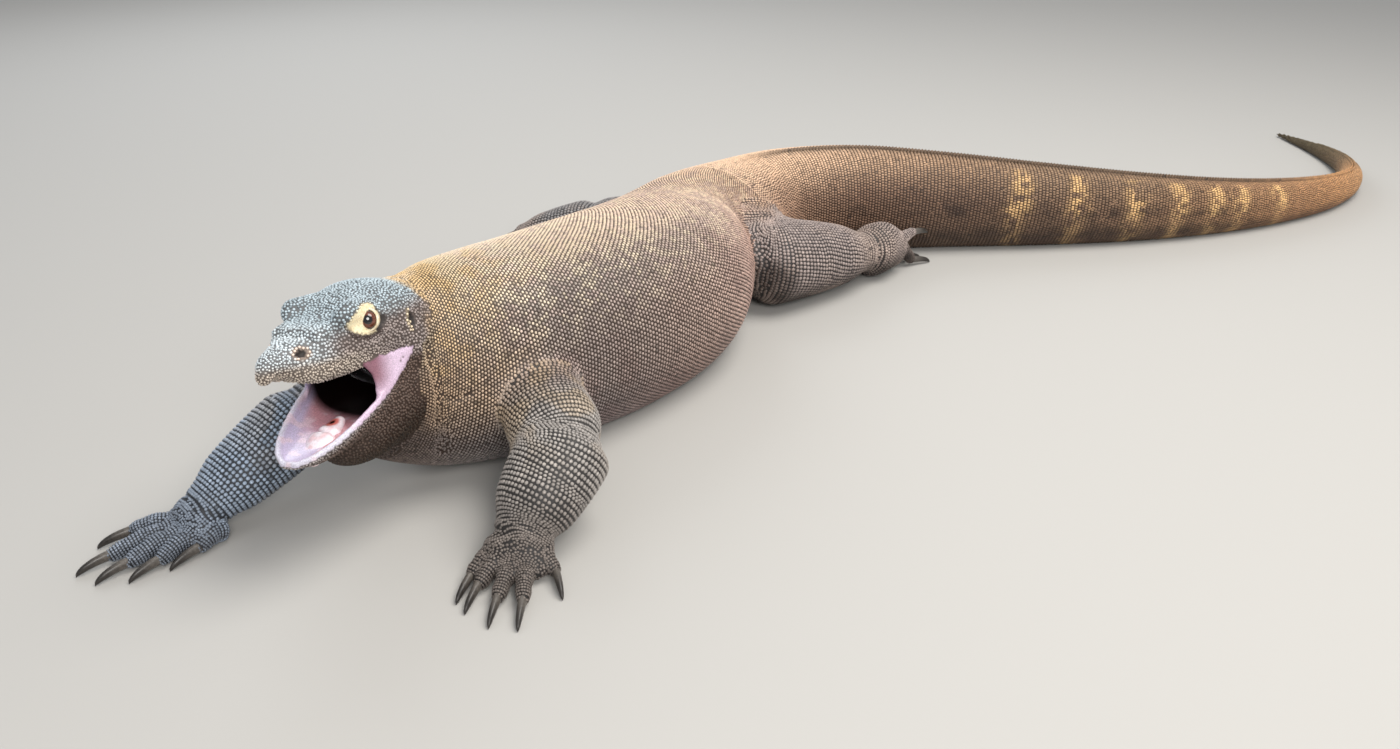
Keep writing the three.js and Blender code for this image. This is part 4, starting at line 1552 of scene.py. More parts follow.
# ------------------------------------------------------------------ shapes of scales
@dataclass(frozen=True)
class ScaleShape:
    """A scale one unit wide, long and high: a sunk rim, a shoulder and a low crown."""

    name: str
    sides: int
    rim: float = 0.52
    shoulder: float = 0.41
    rise: float = 0.6
    crown: float = 0.95
    lift: float = 0.0
    keel: float = 0.0
    sink: float = -0.35
    # share of the painted rim shade at the shoulder
    shoulder_rim: float = 0.35

    def template(self) -> Object:
        """The scale as an object that the tree copies."""
        turn = (np.arange(self.sides) - 0.5) * 2 * math.pi / self.sides
        across, along = np.sin(turn), np.cos(turn)
        bottom = np.stack([self.rim * across, self.rim * along, np.full(self.sides, self.sink)], 1)
        top = np.stack([self.shoulder * across, self.shoulder * along, self.rise + self.lift * along], 1)
        points = [*bottom, *top]
        # painted shade at each point: full at the sunk rim, less at the shoulder, none on the crown
        rim_shades = [1.0] * self.sides + [self.shoulder_rim] * self.sides
        n = self.sides
        faces = [tuple(range(n))]
        for k in range(n):
            following = (k + 1) % n
            faces.append((k, n + k, n + following, following))
        if self.keel:
            points += [(0, -self.keel, self.crown), (0, self.keel, self.crown + self.lift)]
            rim_shades += [0.0, 0.0]
            front, rear = 2 * n + 1, 2 * n
            faces += [(n, front, n + 1), (n + 1, front, rear, n + 2), (n + 2, rear, n + 3),
                      (n + 3, rear, front, n)]
        else:
            points.append((0, 0.06, self.crown))
            rim_shades.append(0.0)
            faces += [(n + k, 2 * n, n + (k + 1) % n) for k in range(n)]
        mesh = bpy.data.meshes.new(self.name)
        mesh.from_pydata([tuple(float(v) for v in p) for p in points], [], faces)
        outward(mesh)
        mesh.shade_smooth()
        give(mesh, "rim", np.array(rim_shades))
        give(mesh, "patch", np.array(points, float) * np.array([1.0, 1.0, 0.0]))
        return in_scene(self.name, mesh)

    @property
    def triangles(self) -> int:
        """How many triangles one scale has."""
        return 2 * self.sides + (self.sides - 2) + (6 if self.keel else self.sides)


def outward(mesh: Mesh) -> None:
    """Turns every face of a closed mesh outwards."""
    work = bmesh.new()
    work.from_mesh(mesh)
    bmesh.ops.recalc_face_normals(work, faces=work.faces)
    work.to_mesh(mesh)
    work.free()
    mesh.update()


BEAD = ScaleShape("bead", 5)
SHINGLE = ScaleShape("shingle", 6, rim=0.55, shoulder=0.46, rise=0.62, crown=0.86, lift=0.12)
PLATE = ScaleShape("plate", 4, rim=0.68, shoulder=0.58, rise=0.5, crown=0.85, lift=0.14, keel=0.3)
CREST = ScaleShape("crest", 4, rim=0.7, shoulder=0.52, rise=0.35, crown=0.6, lift=0.4, keel=0.3)


# ------------------------------------------------------------------ trees
def new_tree(name: str, inputs: dict[str, str], output: str) -> tuple[Sketch, Node, Node]:
    """A Geometry Nodes tree with named inputs, and its input and output nodes."""
    tree = bpy.data.node_groups.new(name, "GeometryNodeTree")
    for title, kind in inputs.items():
        tree.interface.new_socket(title, in_out="INPUT", socket_type=f"NodeSocket{kind}")
    tree.interface.new_socket(output, in_out="OUTPUT", socket_type="NodeSocketGeometry")
    sketch = Sketch(tree)
    return sketch, sketch.add("NodeGroupInput"), sketch.add("NodeGroupOutput")


@dataclass(frozen=True)
class ScaleTree:
    """The Geometry Nodes tree that stands a scale on each point."""

    name: str = "scales_on_points"
    patch: float = 0.003

    def build(self) -> NodeTree:
        """Makes the tree."""
        inputs = {"Points": "Geometry", "Scale shape": "Object", "Finish": "Material", "Patch size": "Float"}
        sketch, given, result = new_tree(self.name, inputs, "Scales")
        shape = sketch.add("GeometryNodeObjectInfo")
        turn = sketch.add("FunctionNodeAxesToRotation", primary_axis="Z", secondary_axis="Y")
        place = sketch.add("GeometryNodeInstanceOnPoints")
        solid = sketch.add("GeometryNodeRealizeInstances")
        store = sketch.add("GeometryNodeStoreNamedAttribute", data_type="FLOAT2", domain="CORNER", in_Name=UV_NAME)
        dress = sketch.add("GeometryNodeSetMaterial")
        stretch = sketch.add("ShaderNodeVectorMath", operation="SCALE")
        spot = sketch.add("ShaderNodeVectorMath", operation="ADD")
        for name, node, into in (("scale_normal", turn, "Primary Axis"), ("scale_lie", turn, "Secondary Axis"),
                                 ("scale_size", place, "Scale"), ("scale_root", spot, 1), ("patch", stretch, 0)):
            read = sketch.add("GeometryNodeInputNamedAttribute", data_type="FLOAT_VECTOR", in_Name=name)
            sketch.join(read, "Attribute", node, into)
        for link in (
            (given, "Scale shape", shape, "Object"),
            (given, "Points", place, "Points"),
            (shape, "Geometry", place, "Instance"),
            (turn, "Rotation", place, "Rotation"),
            (place, "Instances", solid, "Geometry"),
            (given, "Patch size", stretch, "Scale"),
            (stretch, "Vector", spot, 0),
            (solid, "Geometry", store, "Geometry"),
            (spot, "Vector", store, "Value"),
            (store, "Geometry", dress, "Geometry"),
            (given, "Finish", dress, "Material"),
            (dress, "Geometry", result, 0),
        ):
            sketch.join(*link)
        return sketch.tree


@dataclass(frozen=True)
class ScatterTree:
    """The Geometry Nodes tree that strews points over a surface with a least gap."""

    name: str = "points_on_skin"
    crowding: float = 3.0

    def build(self) -> NodeTree:
        """Makes the tree."""
        inputs = {"Surface": "Geometry", "Least gap": "Float", "Most": "Float", "Seed": "Int"}
        sketch, given, result = new_tree(self.name, inputs, "Points")
        strew = sketch.add("GeometryNodeDistributePointsOnFaces", distribute_method="POISSON")
        keep = sketch.add("GeometryNodePointsToVertices")
        for name, into in (("Surface", "Mesh"), ("Least gap", "Distance Min"), ("Most", "Density Max"),
                           ("Seed", "Seed")):
            sketch.join(given, name, strew, into)
        sketch.join(strew, "Points", keep, "Points")
        sketch.join(keep, "Mesh", result, 0)
        return sketch.tree

    def points(self, tree: NodeTree, surface: Object, gap: float, seed: int) -> Array:
        """Strews points, in millimetres, and takes the surface away."""
        most = self.crowding / (gap * MM) ** 2
        run_tree(surface, tree, {"Least gap": gap * MM, "Most": most, "Seed": seed})
        mesh = surface.data
        spots = vertices_of(mesh)
        bpy.data.objects.remove(surface)
        bpy.data.meshes.remove(mesh)
        return spots


def run_tree(piece: Object, tree: NodeTree, given: dict) -> None:
    """Gives a tree its inputs by name on a piece and turns the result into its mesh."""
    modifier = piece.modifiers.new(tree.name, "NODES")
    modifier.node_group = tree
    for item in tree.interface.items_tree:
        if item.item_type == "SOCKET" and item.in_out == "INPUT" and item.name in given:
            modifier[item.identifier] = given[item.name]
    replace_by_result(piece)


# ------------------------------------------------------------------ coat
@dataclass
class ScaleSet:
    """Scales of one piece: place, normal, lie, size, root on the unwrap and colour of each."""

    points: Array
    normal: Array
    lie: Array
    size: Array
    root: Array
    colour: Array

    def pick(self, mask: Array) -> "ScaleSet":
        """The scales that a mask keeps."""
        return ScaleSet(*(getattr(self, name)[mask] for name in self.__dataclass_fields__))

    @property
    def pressed(self) -> Array:
        """Which scales lie against the floor."""
        return (self.normal[:, 2] < -0.9) & (self.points[:, 2] < 3)

    @staticmethod
    def joined(sets: list["ScaleSet"]) -> "ScaleSet":
        """Several sets as one."""
        names = ScaleSet.__dataclass_fields__
        return ScaleSet(*(np.concatenate([getattr(s, name) for s in sets]) for name in names))


@dataclass
class Batch:
    """Scales that become one or more pieces of one shape."""

    name: str
    scales: ScaleSet
    shape: ScaleShape
    slot: str


class Coat:
    """Every scale of the hide, in rows along the body and limbs and strewn over the head."""

    most_triangles = 195_000
    body_gain = 1.35  # scales are brighter than the markings, which are means with the gaps
    most_spread = 1.2  # of rows, as a share of the pitch
    head_gain = 1.7
    tail_gain = 1.25
    tail_from = 9.5
    bead_fill = (0.88, 0.88)
    shingle_fill = (0.95, 0.84)
    plate_fill = (0.86, 0.79)

    def __init__(self, hide: Hide, markings: Markings, finish: Material) -> None:
        """Keeps the skin, the markings and the finish."""
        self.hide = hide
        self.markings = markings
        self.finish = finish
        self.tree = ScaleTree().build()
        self.scatter = ScatterTree()
        self.scatter_tree = self.scatter.build()
        self.random = np.random.default_rng(41)
        self.batches: list[Batch] = []
        self.surface = hide.quads()

    def settle(self, points: Array, ahead: Array, size: Array, root: Array) -> ScaleSet:
        """Scales put on the skin and coloured.

        Args:
            points: Places near the skin.
            ahead: A place in the way each scale points.
            size: Width, length and height of each.
            root: Place of each on the unwrap, from 0 to 1.

        Returns:
            The scales.
        """
        on_skin = self.hide.field.settle(points)
        normal = self.hide.field.slope(on_skin)
        places = self.hide.places(on_skin)
        chance, odd = self.random.random((2, len(points)))
        gain = np.where((places.part == Part.BODY) & (places.station > self.tail_from), self.tail_gain, self.body_gain)
        gain = np.where(np.isin(places.part, (Part.SKULL, Part.JAW)), self.head_gain, gain)
        shade = gain * self.markings.speckle(places, chance, odd)
        colour = self.markings.colour(places) * shade[:, None]
        colour /= np.maximum(colour.max(axis=1, keepdims=True), 1)
        flat = np.concatenate([root, np.zeros((len(root), 1))], axis=1)
        return ScaleSet(on_skin, normal, ahead - points, size, flat, colour)

    def kept(self, scales: ScaleSet, parts: tuple[Part, ...]) -> ScaleSet:
        """The scales that lie on some parts and not on the floor."""
        owner = self.hide.field.owner_at(scales.points)
        return scales.pick(np.isin(owner, parts) & ~scales.pressed)

    def rows(self, sweep: Sweep, rings: tuple[float, float], sizes, height: float, fill: tuple[float, float],
             count: int = 0, even: bool = False) -> ScaleSet:
        """Rows of scales round a sweep.

        Args:
            sweep: The loft to follow.
            rings: First and last ring.
            sizes: Gives the rows' pitch and the scales' width at a ring.
            height: The scales' height.
            fill: The share of the width and of the pitch that a scale takes.
            count: Scales in a row, if it isn't set by the width.
            even: Whether rows are set closer where a bend would spread them.

        Returns:
            The scales.
        """
        numbers = np.arange(sweep.spans + 1)
        place, end = (float(np.interp(r, numbers, sweep.arc)) for r in rings)
        made, row = [], 0
        while place < end:
            ring = float(np.interp(place, sweep.arc, numbers))
            pitch, width = sizes(ring)
            following = float(np.interp(place + pitch, sweep.arc, numbers))
            _, girth = sweep.outline(ring, np.zeros(1))
            number = count if count else max(5, round(girth / width))
            shares = (np.arange(number) + 0.5 * (row % 2) + 0.25) / number
            shares += (self.random.random(number) - 0.5) * 0.16 / number
            shift = (self.random.random(number) - 0.5) * 0.1
            points, _ = sweep.outline(ring, shares)
            ahead, _ = sweep.outline(following, shares)
            step = pitch
            spread = norms(ahead - points).max() / pitch
            if even and spread > self.most_spread:
                step = pitch * self.most_spread / spread
                ahead, _ = sweep.outline(float(np.interp(place + step, sweep.arc, numbers)), shares)
            points = points + (ahead - points) * shift[:, None]
            reach = np.clip(norms(ahead - points), 0.75 * pitch, 1.3 * pitch)
            grow = 0.95 + 0.1 * self.random.random(number)
            size = np.stack([girth / number * grow * fill[0], reach * grow * fill[1], np.full(number, height)], 1)
            made.append((points, ahead, size, np.stack([np.full(number, place), shares], 1)))
            place += step
            row += 1
        return self.settle(*(np.concatenate(column) for column in zip(*made)))

    def body(self) -> None:
        """Neck, trunk and tail."""
        sweep, steps = self.hide.sweep, self.hide.body.steps
        trunk_end = self.tail_from * steps
        trunk = self.rows(sweep, (0, trunk_end), lambda r: (3.2 + 0.5 * min(1, r / steps / 4), 0.0), 1.5,
                          self.bead_fill, count=150)
        trunk = spread_out(self.kept(trunk, (Part.BODY,)), 0.72)
        self.batches.append(Batch("coat_trunk", trunk, BEAD, "hide"))
        tail_sizes = lambda r: (float(np.interp(r / steps, (9.5, 13, 18, 22), (4.8, 5.6, 5.0, 3.6))),
                                float(np.interp(r / steps, (9.5, 13, 18, 22), (4.0, 4.2, 3.6, 2.8))))
        tail = self.rows(sweep, (trunk_end, sweep.spans), tail_sizes, 1.5, self.plate_fill)
        tail = spread_out(self.kept(tail, (Part.BODY,)), 0.72)
        self.batches.append(Batch("coat_tail", tail, PLATE, "hide"))
        self.crest(sweep, steps)

    def crest(self, sweep: Sweep, steps: int) -> None:
        """Two rows of raised scales along the top of the tail."""
        arc = np.interp((10.2 * steps, 21 * steps), np.arange(sweep.spans + 1), sweep.arc)
        places = np.arange(arc[0], arc[1], 5.2)
        rings = np.interp(places, sweep.arc, np.arange(sweep.spans + 1))
        grown = np.sin(math.pi * np.clip((rings / steps - 9.6) / 11.6, 0, 1)) ** 0.5
        made = []
        for side in Side:
            for ring, place, share in zip(rings, places, grown):
                _, girth = sweep.outline(ring, np.zeros(1))
                at = np.array([0.5 - side.value * 2.1 / girth])
                points, _ = sweep.outline(ring, at)
                ahead, _ = sweep.outline(min(ring + 0.2, sweep.spans), at)
                size = np.array([[4.0, 6.2, 2.4 + 3.6 * share]])
                made.append((points, ahead, size, np.array([[place, at[0]]])))
        scales = self.settle(*(np.concatenate(column) for column in zip(*made)))
        self.batches.append(Batch("coat_crest", scales, CREST, "hide"))

    def limb(self, name: str, limb: LimbShape, parts: tuple[Part, Part], hind: bool) -> None:
        """One limb with its digits."""
        pitch, width = (5.4, 5.0) if hind else (5.0, 4.3)
        long, wrist_ring = limb.row_path()

        def sizes(ring: float) -> tuple[float, float]:
            share = min(max((ring - wrist_ring + 3) / 6, 0), 1)
            return pitch - 1.4 * share, width - 0.9 * share

        made = [self.rows(long, (0, long.spans), sizes, 1.6, self.shingle_fill, even=True)]
        for k, digit in enumerate(limb.digit_list()):
            sweep = digit.sweep()
            scales = self.rows(sweep, (0, sweep.spans), lambda _: (3.0, 3.1), 1.2, self.shingle_fill)
            scales.root[:, 0] += 500 + 100 * k
            made.append(scales)
        joined = self.kept(ScaleSet.joined(made[::-1]), parts)
        self.batches.append(Batch(f"coat_{name}", spread_out(joined, 0.62), SHINGLE, "limb_hide"))

    def strew(self, zone: Array, gap: float, seed: int) -> Array:
        """Points strewn over some faces of the skin."""
        points, quads = self.surface
        used, faces = np.unique(quads[zone], return_inverse=True)
        mesh = bpy.data.meshes.new("zone")
        mesh.from_pydata((points[used] * MM).tolist(), [], faces.reshape(-1, 4).tolist())
        return self.scatter.points(self.scatter_tree, in_scene("zone", mesh), gap, seed)

    def head(self) -> None:
        """Small scales strewn over the head, smallest on the snout, lips and round the eyes."""
        points, quads = self.surface
        owner = self.hide.field.owner_at(points)
        middle = points[quads].mean(axis=1)
        head = np.isin(owner, (Part.SKULL, Part.JAW))[quads].all(axis=1)
        h, j = HEAD_FRAME.inward(middle), JAW_FRAME.inward(middle)
        near_eye = eye_gap(h) < 21
        lips = (h[:, 2] < 9) & (h[:, 2] > -12) & (h[:, 0] > -125)
        chin = (j[:, 2] > -12) & (j[:, 0] > 20) & (h[:, 2] < -4)
        fine = near_eye | lips | chin | (h[:, 0] > -14)
        back = HEAD_FRAME.axes @ np.array([-1.0, 0, 0])
        made = []
        for gap, zone, seed in ((1.9, head & fine, 5), (2.45, head & ~fine, 6)):
            spots = self.strew(zone, gap, seed)
            wide = gap * (1.16 + 0.1 * self.random.random(len(spots)))
            size = np.stack([wide, wide * 1.06, np.full(len(spots), 0.5 * gap)], 1)
            local = HEAD_FRAME.inward(spots)
            turn = np.arctan2(local[:, 1], local[:, 2] + 20) / (2 * math.pi) + 0.5
            made.append(self.settle(spots, spots + back, size, np.stack([local[:, 0], turn], 1)))
        scales = self.kept(ScaleSet.joined(made), (Part.SKULL, Part.JAW))
        bare = distance_to_line(scales.points, self.hide.lip) < HeadShape.lip_roll + 1.2
        bare |= eye_ring(HEAD_FRAME.inward(scales.points)) < BARE_EYE
        bare |= self.hide.at_corner(scales.points)
        scales = scales.pick(~bare)
        self.batches.append(Batch("coat_head", scales, BEAD, "head_hide"))

    def fill_gaps(self) -> None:
        """Adds scales wherever the rows leave the skin bare."""
        everything = ScaleSet.joined([batch.scales for batch in self.batches])
        group = np.concatenate([np.full(len(b.scales.points), k) for k, b in enumerate(self.batches)])
        tree = tree_of(everything.points)
        points, quads = self.surface
        owner = self.hide.field.owner_at(points)
        covered = ~np.isin(owner, (Part.MOUTH, Part.HOLE, Part.NONE, Part.SKULL, Part.JAW))[quads].any(axis=1)
        spots = self.strew(covered, 2.0, 9)
        found = [tree.find(spot)[1:] for spot in spots]
        nearest = np.array([index for index, _ in found])
        gap = np.array([distance for _, distance in found])
        size = everything.size[nearest]
        room = gap / np.minimum(size[:, 0], size[:, 1])
        chosen = np.flatnonzero(room > 0.9)
        chosen = chosen[np.argsort(-room[chosen], kind="stable")]
        spots, nearest, size, room = spots[chosen], nearest[chosen], size[chosen], room[chosen]
        size = size * np.clip(2 * room - 1, 0.72, 1)[:, None]
        root = everything.root[nearest][:, :2] + np.array([1.7, 0.0])
        extra = self.settle(spots, spots + everything.lie[nearest], size, root)
        label = group[nearest]
        for k, batch in enumerate(self.batches):
            more = spread_out(extra.pick((label == k) & ~extra.pressed), 0.8)
            log.info("%s: %d scales fill gaps", batch.name, len(more.points))
            batch.scales = ScaleSet.joined([batch.scales, more])

    def make(self) -> None:
        """Makes the pieces, none too large."""
        for batch in self.batches:
            scales = batch.scales.pick(np.argsort(batch.scales.root[:, 0], kind="stable"))
            most = self.most_triangles // batch.shape.triangles
            parts = max(1, math.ceil(len(scales.points) / most))
            for number, chosen in enumerate(np.array_split(np.arange(len(scales.points)), parts), 1):
                name = f"{batch.name}_{number}" if parts > 1 else batch.name
                self.one_piece(name, scales.pick(chosen), batch.shape)

    def one_piece(self, name: str, scales: ScaleSet, shape: ScaleShape) -> None:
        """One piece of scales."""
        root = scales.root
        span = np.maximum(root.max(0) - root.min(0), 1e-9)
        root = 0.004 + 0.992 * (root - root.min(0)) / span
        root[:, 2] = 0
        mesh = bpy.data.meshes.new(name)
        mesh.from_pydata((scales.points * MM).tolist(), [], [])
        given = {"scale_normal": scales.normal, "scale_lie": scales.lie, "scale_size": scales.size * MM,
                 "scale_root": root}
        for key, values in given.items():
            give(mesh, key, values)
        give_marking(mesh, scales.colour)
        piece = in_scene(name, mesh)
        template = shape.template()
        run_tree(piece, self.tree, {"Scale shape": template, "Finish": self.finish, "Patch size": ScaleTree.patch})
        bpy.data.objects.remove(template)
        mesh = piece.data
        for spare in (*given, "patch"):
            if spare in mesh.attributes:
                mesh.attributes.remove(mesh.attributes[spare])
        mesh.shade_smooth()
        self.keep_above_floor(mesh)
        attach(piece, BODY_NAME)
        log.info("%s: %d scales, %d faces", name, len(scales.points), len(mesh.polygons))

    def keep_above_floor(self, mesh: Mesh) -> None:
        """Flattens what would reach below the floor."""
        spots = np.empty(3 * len(mesh.vertices), np.float32)
        mesh.vertices.foreach_get("co", spots)
        spots = spots.reshape(-1, 3)
        spots[:, 2] = np.maximum(spots[:, 2], 0)
        mesh.vertices.foreach_set("co", spots.ravel())
        mesh.update()


def tree_of(points: Array) -> kdtree.KDTree:
    """A search tree of points."""
    tree = kdtree.KDTree(len(points))
    for number, point in enumerate(points):
        tree.insert(point, number)
    tree.balance()
    return tree


def spread_out(scales: ScaleSet, share: float) -> ScaleSet:
    """Drops scales that lie within a share of another one's size."""
    if not len(scales.points):
        return scales
    tree = tree_of(scales.points)
    keep = np.ones(len(scales.points), bool)
    reach = share * scales.size[:, :2].min(axis=1)
    for number, point in enumerate(scales.points):
        if keep[number]:
            for _, other, _ in tree.find_range(point, reach[number]):
                if other > number:
                    keep[other] = False
    return scales.pick(keep)


BARE_EYE = 1.0  # how far round an eye the skin has no scales, as a share of its cream surround


def eye_ring(local: Array) -> Array:
    """Places of the head's frame as a share of the way out through the cream skin round an eye."""
    x, y, z = local[:, 0], np.abs(local[:, 1]), local[:, 2]
    ex, ey, ez = EYE_SHAPE.centre
    ahead = np.where(x > ex, 25.0, 11.5)
    high = np.where(z > ez, 15.5, 12.5)
    return np.sqrt(((x - ex) / ahead) ** 2 + ((y - ey) / 20) ** 2 + ((z - ez) / high) ** 2)


def eye_gap(local: Array) -> Array:
    """Distance of points of the head's frame from the nearer eye's centre."""
    folded = local * np.array([1, 0, 1]) + np.abs(local) * np.array([0, 1, 0])
    return norms(folded - np.array(EYE_SHAPE.centre))


# ------------------------------------------------------------------ eyes, tongue and claws
@dataclass(frozen=True)
class EyeShape:
    """Eyeballs and lids in the head's frame."""

    centre: tuple = (-96.0, 35.5, 35.0)
    radius: float = 9.5
    gaze: tuple = (0.76, 0.62, 0.17)
    pupil: float = 25.0
    iris: float = 60.0
    opening: tuple = (51.0, 66.0)  # half angles of the lids' opening, along and up
    lid_end: float = 96.0
    lid_gap: float = 0.45
    lid_thick: float = 1.4

    def axes(self, side: Side) -> tuple[Array, Array, Array]:
        """The way the eye looks, and its forward and upward axes."""
        gaze = np.array(self.gaze) * np.array([1, side.value, 1])
        gaze /= np.linalg.norm(gaze)
        up = np.array([0.0, 0, 1]) - gaze * gaze[2]
        up /= np.linalg.norm(up)
        return gaze, np.cross(up, gaze) * side.value, up

    def on_ball(self, side: Side, radius: Array, theta: Array, phi: Array) -> Array:
        """Points round the eye's centre, theta from the gaze and phi round it, in the part's frame."""
        gaze, ahead, up = self.axes(side)
        way = np.cos(theta)[:, None] * gaze
        way = way + np.sin(theta)[:, None] * (np.cos(phi)[:, None] * ahead + np.sin(phi)[:, None] * up)
        centre = mirrored(self.centre, side)
        return HEAD_FRAME.outward(centre + radius[:, None] * way)


EYE_SHAPE = EyeShape()


class Eyes:
    """Both eyeballs with their lids."""

    around = 48

    def make(self, ball: Material, lid: Material) -> None:
        """Makes the four pieces."""
        for side in Side:
            self.ball(side, ball)
            self.lid(side, lid)

    def ball(self, side: Side, finish: Material) -> None:
        """An eyeball with a clear front over a black pupil and a red brown iris."""
        e = EYE_SHAPE
        theta = np.radians(np.concatenate([np.linspace(3, 60, 30), np.linspace(66, 176, 14)]))
        phi = np.linspace(0, 2 * math.pi, self.around, endpoint=False)
        t, p = (grid.ravel() for grid in np.meshgrid(theta, phi, indexing="ij"))
        t = np.concatenate([t, [0, math.pi]])
        p = np.concatenate([p, [0, 0]])
        radius = e.radius + 0.45 * ramp(58, 20, np.degrees(t))
        points = e.on_ball(side, radius, t, p)
        faces = lathe_faces(len(theta), self.around)
        if side is Side.LEFT:
            faces = [face[::-1] for face in faces]
        piece = make_piece(f"eyeball_{side.word}", points, faces, finish)
        angle = np.degrees(t)
        spokes = 0.5 + 0.5 * np.sin(p * 23 + 2 * np.sin(p * 7))
        give_marking(piece.data, painted(
            plain((88, 42, 26), t),
            ((132, 70, 42), 0.5 * spokes),
            ((52, 26, 18), ramp(e.iris - 14, e.iris, angle)),
            ((6, 4, 4), ramp(e.pupil + 2.5, e.pupil - 1.5, angle)),
            ((24, 16, 13), ramp(e.iris, e.iris + 6, angle)),
        ))
        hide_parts(f"eye_{side.word}")

    def lid(self, side: Side, finish: Material) -> None:
        """The lids: a thick ring round the eye with an almond opening, with painted shade where they tuck in towards
        the eyeball and in their fold.
        """
        e = EYE_SHAPE
        phi = np.linspace(0, 2 * math.pi, 2 * self.around, endpoint=False)
        wide, high = e.opening
        edge = 1 / np.sqrt((np.cos(phi) / wide) ** 2 + (np.sin(phi) / high) ** 2)
        edge *= 1 - 0.06 * np.cos(2 * phi) + 0.03 * np.cos(phi)
        inner, outer = e.radius + e.lid_gap, e.radius + e.lid_gap + e.lid_thick
        # Each row: share of the way from the opening's edge, radius and painted shade.
        section = ((0.0, inner, 0.30), (0.02, inner + 0.6, 0.05), (0.07, inner + 1.3, 0.0), (0.18, outer, 0.0),
                   (0.34, outer + 0.1, 0.1), (0.5, outer - 0.3, 0.35), (0.66, outer + 0.1, 0.1),
                   (0.85, outer - 0.9, 0.3), (1.0, inner - 0.6, 1.0), (0.6, inner - 1.4, 1.0), (0.25, inner - 1.0, 1.0))
        rings, rim_shades = [], []
        for share, radius, rim in section:
            theta = np.radians(edge + (e.lid_end - edge) * share)
            rings.append(e.on_ball(side, np.full(len(phi), radius), theta, phi))
            rim_shades.append(np.full(len(phi), rim))
        faces = ring_faces(neighbours(len(section)), len(phi))
        if side is Side.RIGHT:
            faces = [face[::-1] for face in faces]
        points, rim = np.vstack(rings), np.concatenate(rim_shades)
        piece = make_piece(f"eyelid_{side.word}", points, faces, finish)
        # painted shade on the surfaces tucked towards the eyeball and in the fold
        give_marking(piece.data, painted(
            plain((248, 236, 206), points),
            ((226, 202, 164), ramp(0.4, 0.7, cell_noise(points, 3, 3))),
            ((70, 50, 36), 0.8 * rim),
        ))
        # the finish darkens the same places again by its painted rim shade
        give(piece.data, "rim", 0.5 * rim)


@dataclass(frozen=True)
class Tongue:
    """The tongue's sheath with the windpipe's mouth painted behind it, its opening near black as painted shade, on the
    floor of the jaw.
    """

    start: float = 73.0
    end: float = 124.0
    half: float = 16.0
    height: float = 12.0
    floor: float = -22.0
    root: float = 6.0

    def make(self, finish: Material) -> None:
        """Makes the piece."""
        t = np.linspace(0, 1, 40)
        swell = (0.62 + 0.38 * ramp(0.1, 0.5, t)) * np.sin(math.pi * (0.1 + 0.82 * t)) ** 0.5
        waist = 1 - 0.32 * np.exp(-(((t - 0.42) / 0.07) ** 2))
        half = self.half * swell * waist
        above = self.height * swell * (1 - 0.25 * np.exp(-(((t - 0.42) / 0.06) ** 2)))
        x = self.start + (self.end - self.start) * t
        centre = np.stack([x, np.zeros(40), np.full(40, self.floor)], 1)
        sweep = Sweep(centre, half, above, np.full(40, self.root), power=2.2, frame=JAW_FRAME, caps=(5.0, 5.0))
        points, faces = sweep_mesh(sweep, 40)
        piece = make_piece("tongue_sheath", points, faces, finish)
        j = JAW_FRAME.inward(points)
        hole = np.hypot((j[:, 0] - self.start - 8) / 1.4, j[:, 1])
        give_marking(piece.data, painted(
            plain((250, 238, 244), points),
            ((236, 176, 178), 0.45 * ramp(0.45, 0.7, cell_noise(points, 5, 51))),
            ((220, 120, 110), ramp(6.5, 4.0, hole)),
            # painted shade: the windpipe's opening near black
            ((30, 10, 8), ramp(3.0, 1.6, hole) * (j[:, 2] > self.floor)),
        ))
        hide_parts("tongue")


class Claws:
    """Twenty claws of dark horn."""

    around = 14

    def make(self, finish: Material) -> None:
        """Makes a piece for each claw."""
        for word, limbs in (("hand", ARMS), ("foot", LEGS)):
            for side in Side:
                for number, digit in enumerate(limbs[side].digit_list(), 1):
                    self.claw(f"claw_{word}_{side.word}_{number}", digit, finish)

    def claw(self, name: str, digit: Digit, finish: Material) -> None:
        """One claw."""
        sweep = digit.claw()
        points, faces = sweep_mesh(sweep, self.around)
        points[:, 2] = np.maximum(points[:, 2], 0)
        piece = make_piece(f"horn_{name[5:]}", points, faces, finish)
        along = norms((points - sweep.centre[0]) * np.array([1, 1, 0.5])) / DIGIT.claw_length
        give_marking(piece.data, painted(plain((96, 90, 84), points), ((46, 42, 39), ramp(0.1, 0.8, along))))
        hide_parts(name)


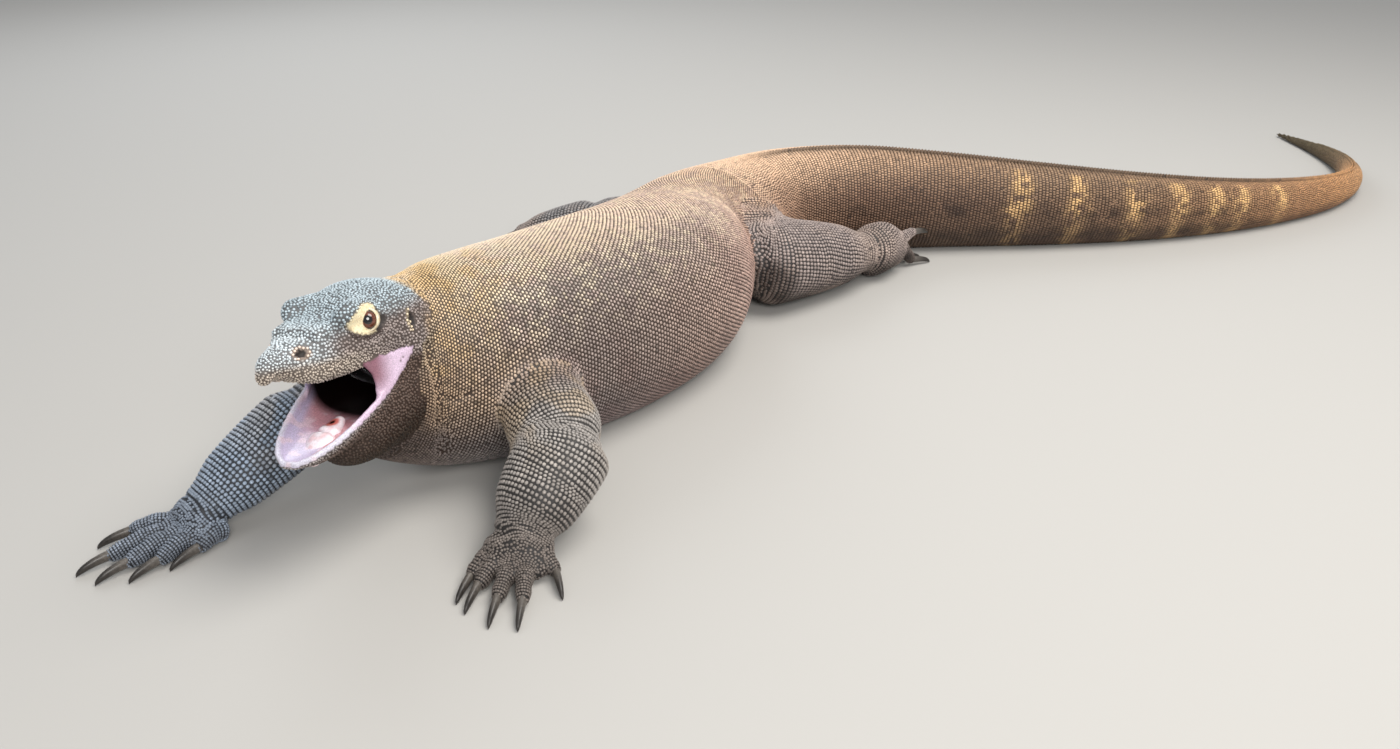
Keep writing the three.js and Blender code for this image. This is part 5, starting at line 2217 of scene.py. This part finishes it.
# ------------------------------------------------------------------ studio
@dataclass(frozen=True)
class Studio:
    """A pale floor, soft light and the camera."""

    camera_place: tuple = (1.0555, 0.6593, 0.6556)
    camera_way: tuple = (-0.8032, -0.3576, -0.4764)
    lens: float = 28.0
    sensor: float = 36.0
    floor_half: float = 14.0
    world: float = 0.45

    def make(self) -> None:
        """Sets everything up."""
        self.floor()
        self.lights()
        self.camera()

    def floor(self) -> None:
        """The plain floor."""
        h = self.floor_half
        mesh = bpy.data.meshes.new("studio_floor")
        mesh.from_pydata([(-h, -h, 0), (h, -h, 0), (h, h, 0), (-h, h, 0)], [], [(0, 1, 2, 3)])
        material, _, shader = new_material("floor_paper")
        shader.inputs["Base Color"].default_value = (0.5, 0.485, 0.46, 1)
        shader.inputs["Roughness"].default_value = 0.9
        mesh.materials.append(material)
        in_scene("studio_floor", mesh)

    def lights(self) -> None:
        """A large soft light above and behind, a fill in front and a pale surround."""
        for name, place, size, power, tint in (
            ("key", (-0.5, 1.2, 2.6), 2.0, 62, (1.0, 0.97, 0.92)),
            ("rim", (-1.6, -1.8, 1.9), 2.0, 26, (0.9, 0.95, 1.0)),
            ("fill", (1.8, 1.7, 1.7), 1.3, 42, (1.0, 0.98, 0.95)),
        ):
            lamp = bpy.data.lights.new(name, "AREA")
            lamp.shape = "DISK"
            lamp.size = size
            lamp.energy = power
            lamp.color = tint
            holder = in_scene(name, lamp)
            holder.location = place
            aim = Vector((-0.1, 0.1, 0.1)) - Vector(place)
            holder.rotation_euler = aim.to_track_quat("-Z", "Y").to_euler()
        world = bpy.data.worlds.new("surround")
        world.use_nodes = True
        background = world.node_tree.nodes["Background"]
        background.inputs["Color"].default_value = (0.93, 0.96, 1.0, 1)
        background.inputs["Strength"].default_value = self.world
        bpy.context.scene.world = world

    def camera(self) -> None:
        """The camera."""
        lens = bpy.data.cameras.new("camera")
        lens.lens = self.lens
        lens.sensor_width = self.sensor
        lens.sensor_fit = "HORIZONTAL"
        lens.clip_start = 0.05
        holder = in_scene("camera", lens)
        holder.location = self.camera_place
        holder.rotation_euler = Vector(self.camera_way).to_track_quat("-Z", "Y").to_euler()
        bpy.context.scene.camera = holder
        bpy.context.scene.view_settings.view_transform = "Standard"


def flesh_nodes(frame: dict) -> list[str]:
    """Names of the frame's nodes that the skin stands for."""
    own = ("eye_", "claw_", "tongue")
    return [name for name in frame["nodes"] if not name.startswith(own)]


def main() -> None:
    """Builds the dragon."""
    logging.basicConfig(level=logging.INFO, format="%(message)s")
    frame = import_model()
    markings = Markings()
    hide = Hide()
    skin = hide.make(markings, BARE_SKIN.material())
    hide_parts(*flesh_nodes(frame))
    coat = Coat(hide, markings, HIDE.material())
    coat.body()
    for side in Side:
        arm, hand, leg, foot = LIMB_PARTS[side]
        coat.limb(f"arm_{side.word}", ARMS[side], (arm, hand), False)
        coat.limb(f"leg_{side.word}", LEGS[side], (leg, foot), True)
    coat.head()
    coat.fill_gaps()
    coat.make()
    Eyes().make(EYE_SURFACE.material(), LID_SKIN.material())
    Tongue().make(WET_TONGUE.material())
    Claws().make(HORN.material())
    Studio().make()


if __name__ == "__main__":
    main()
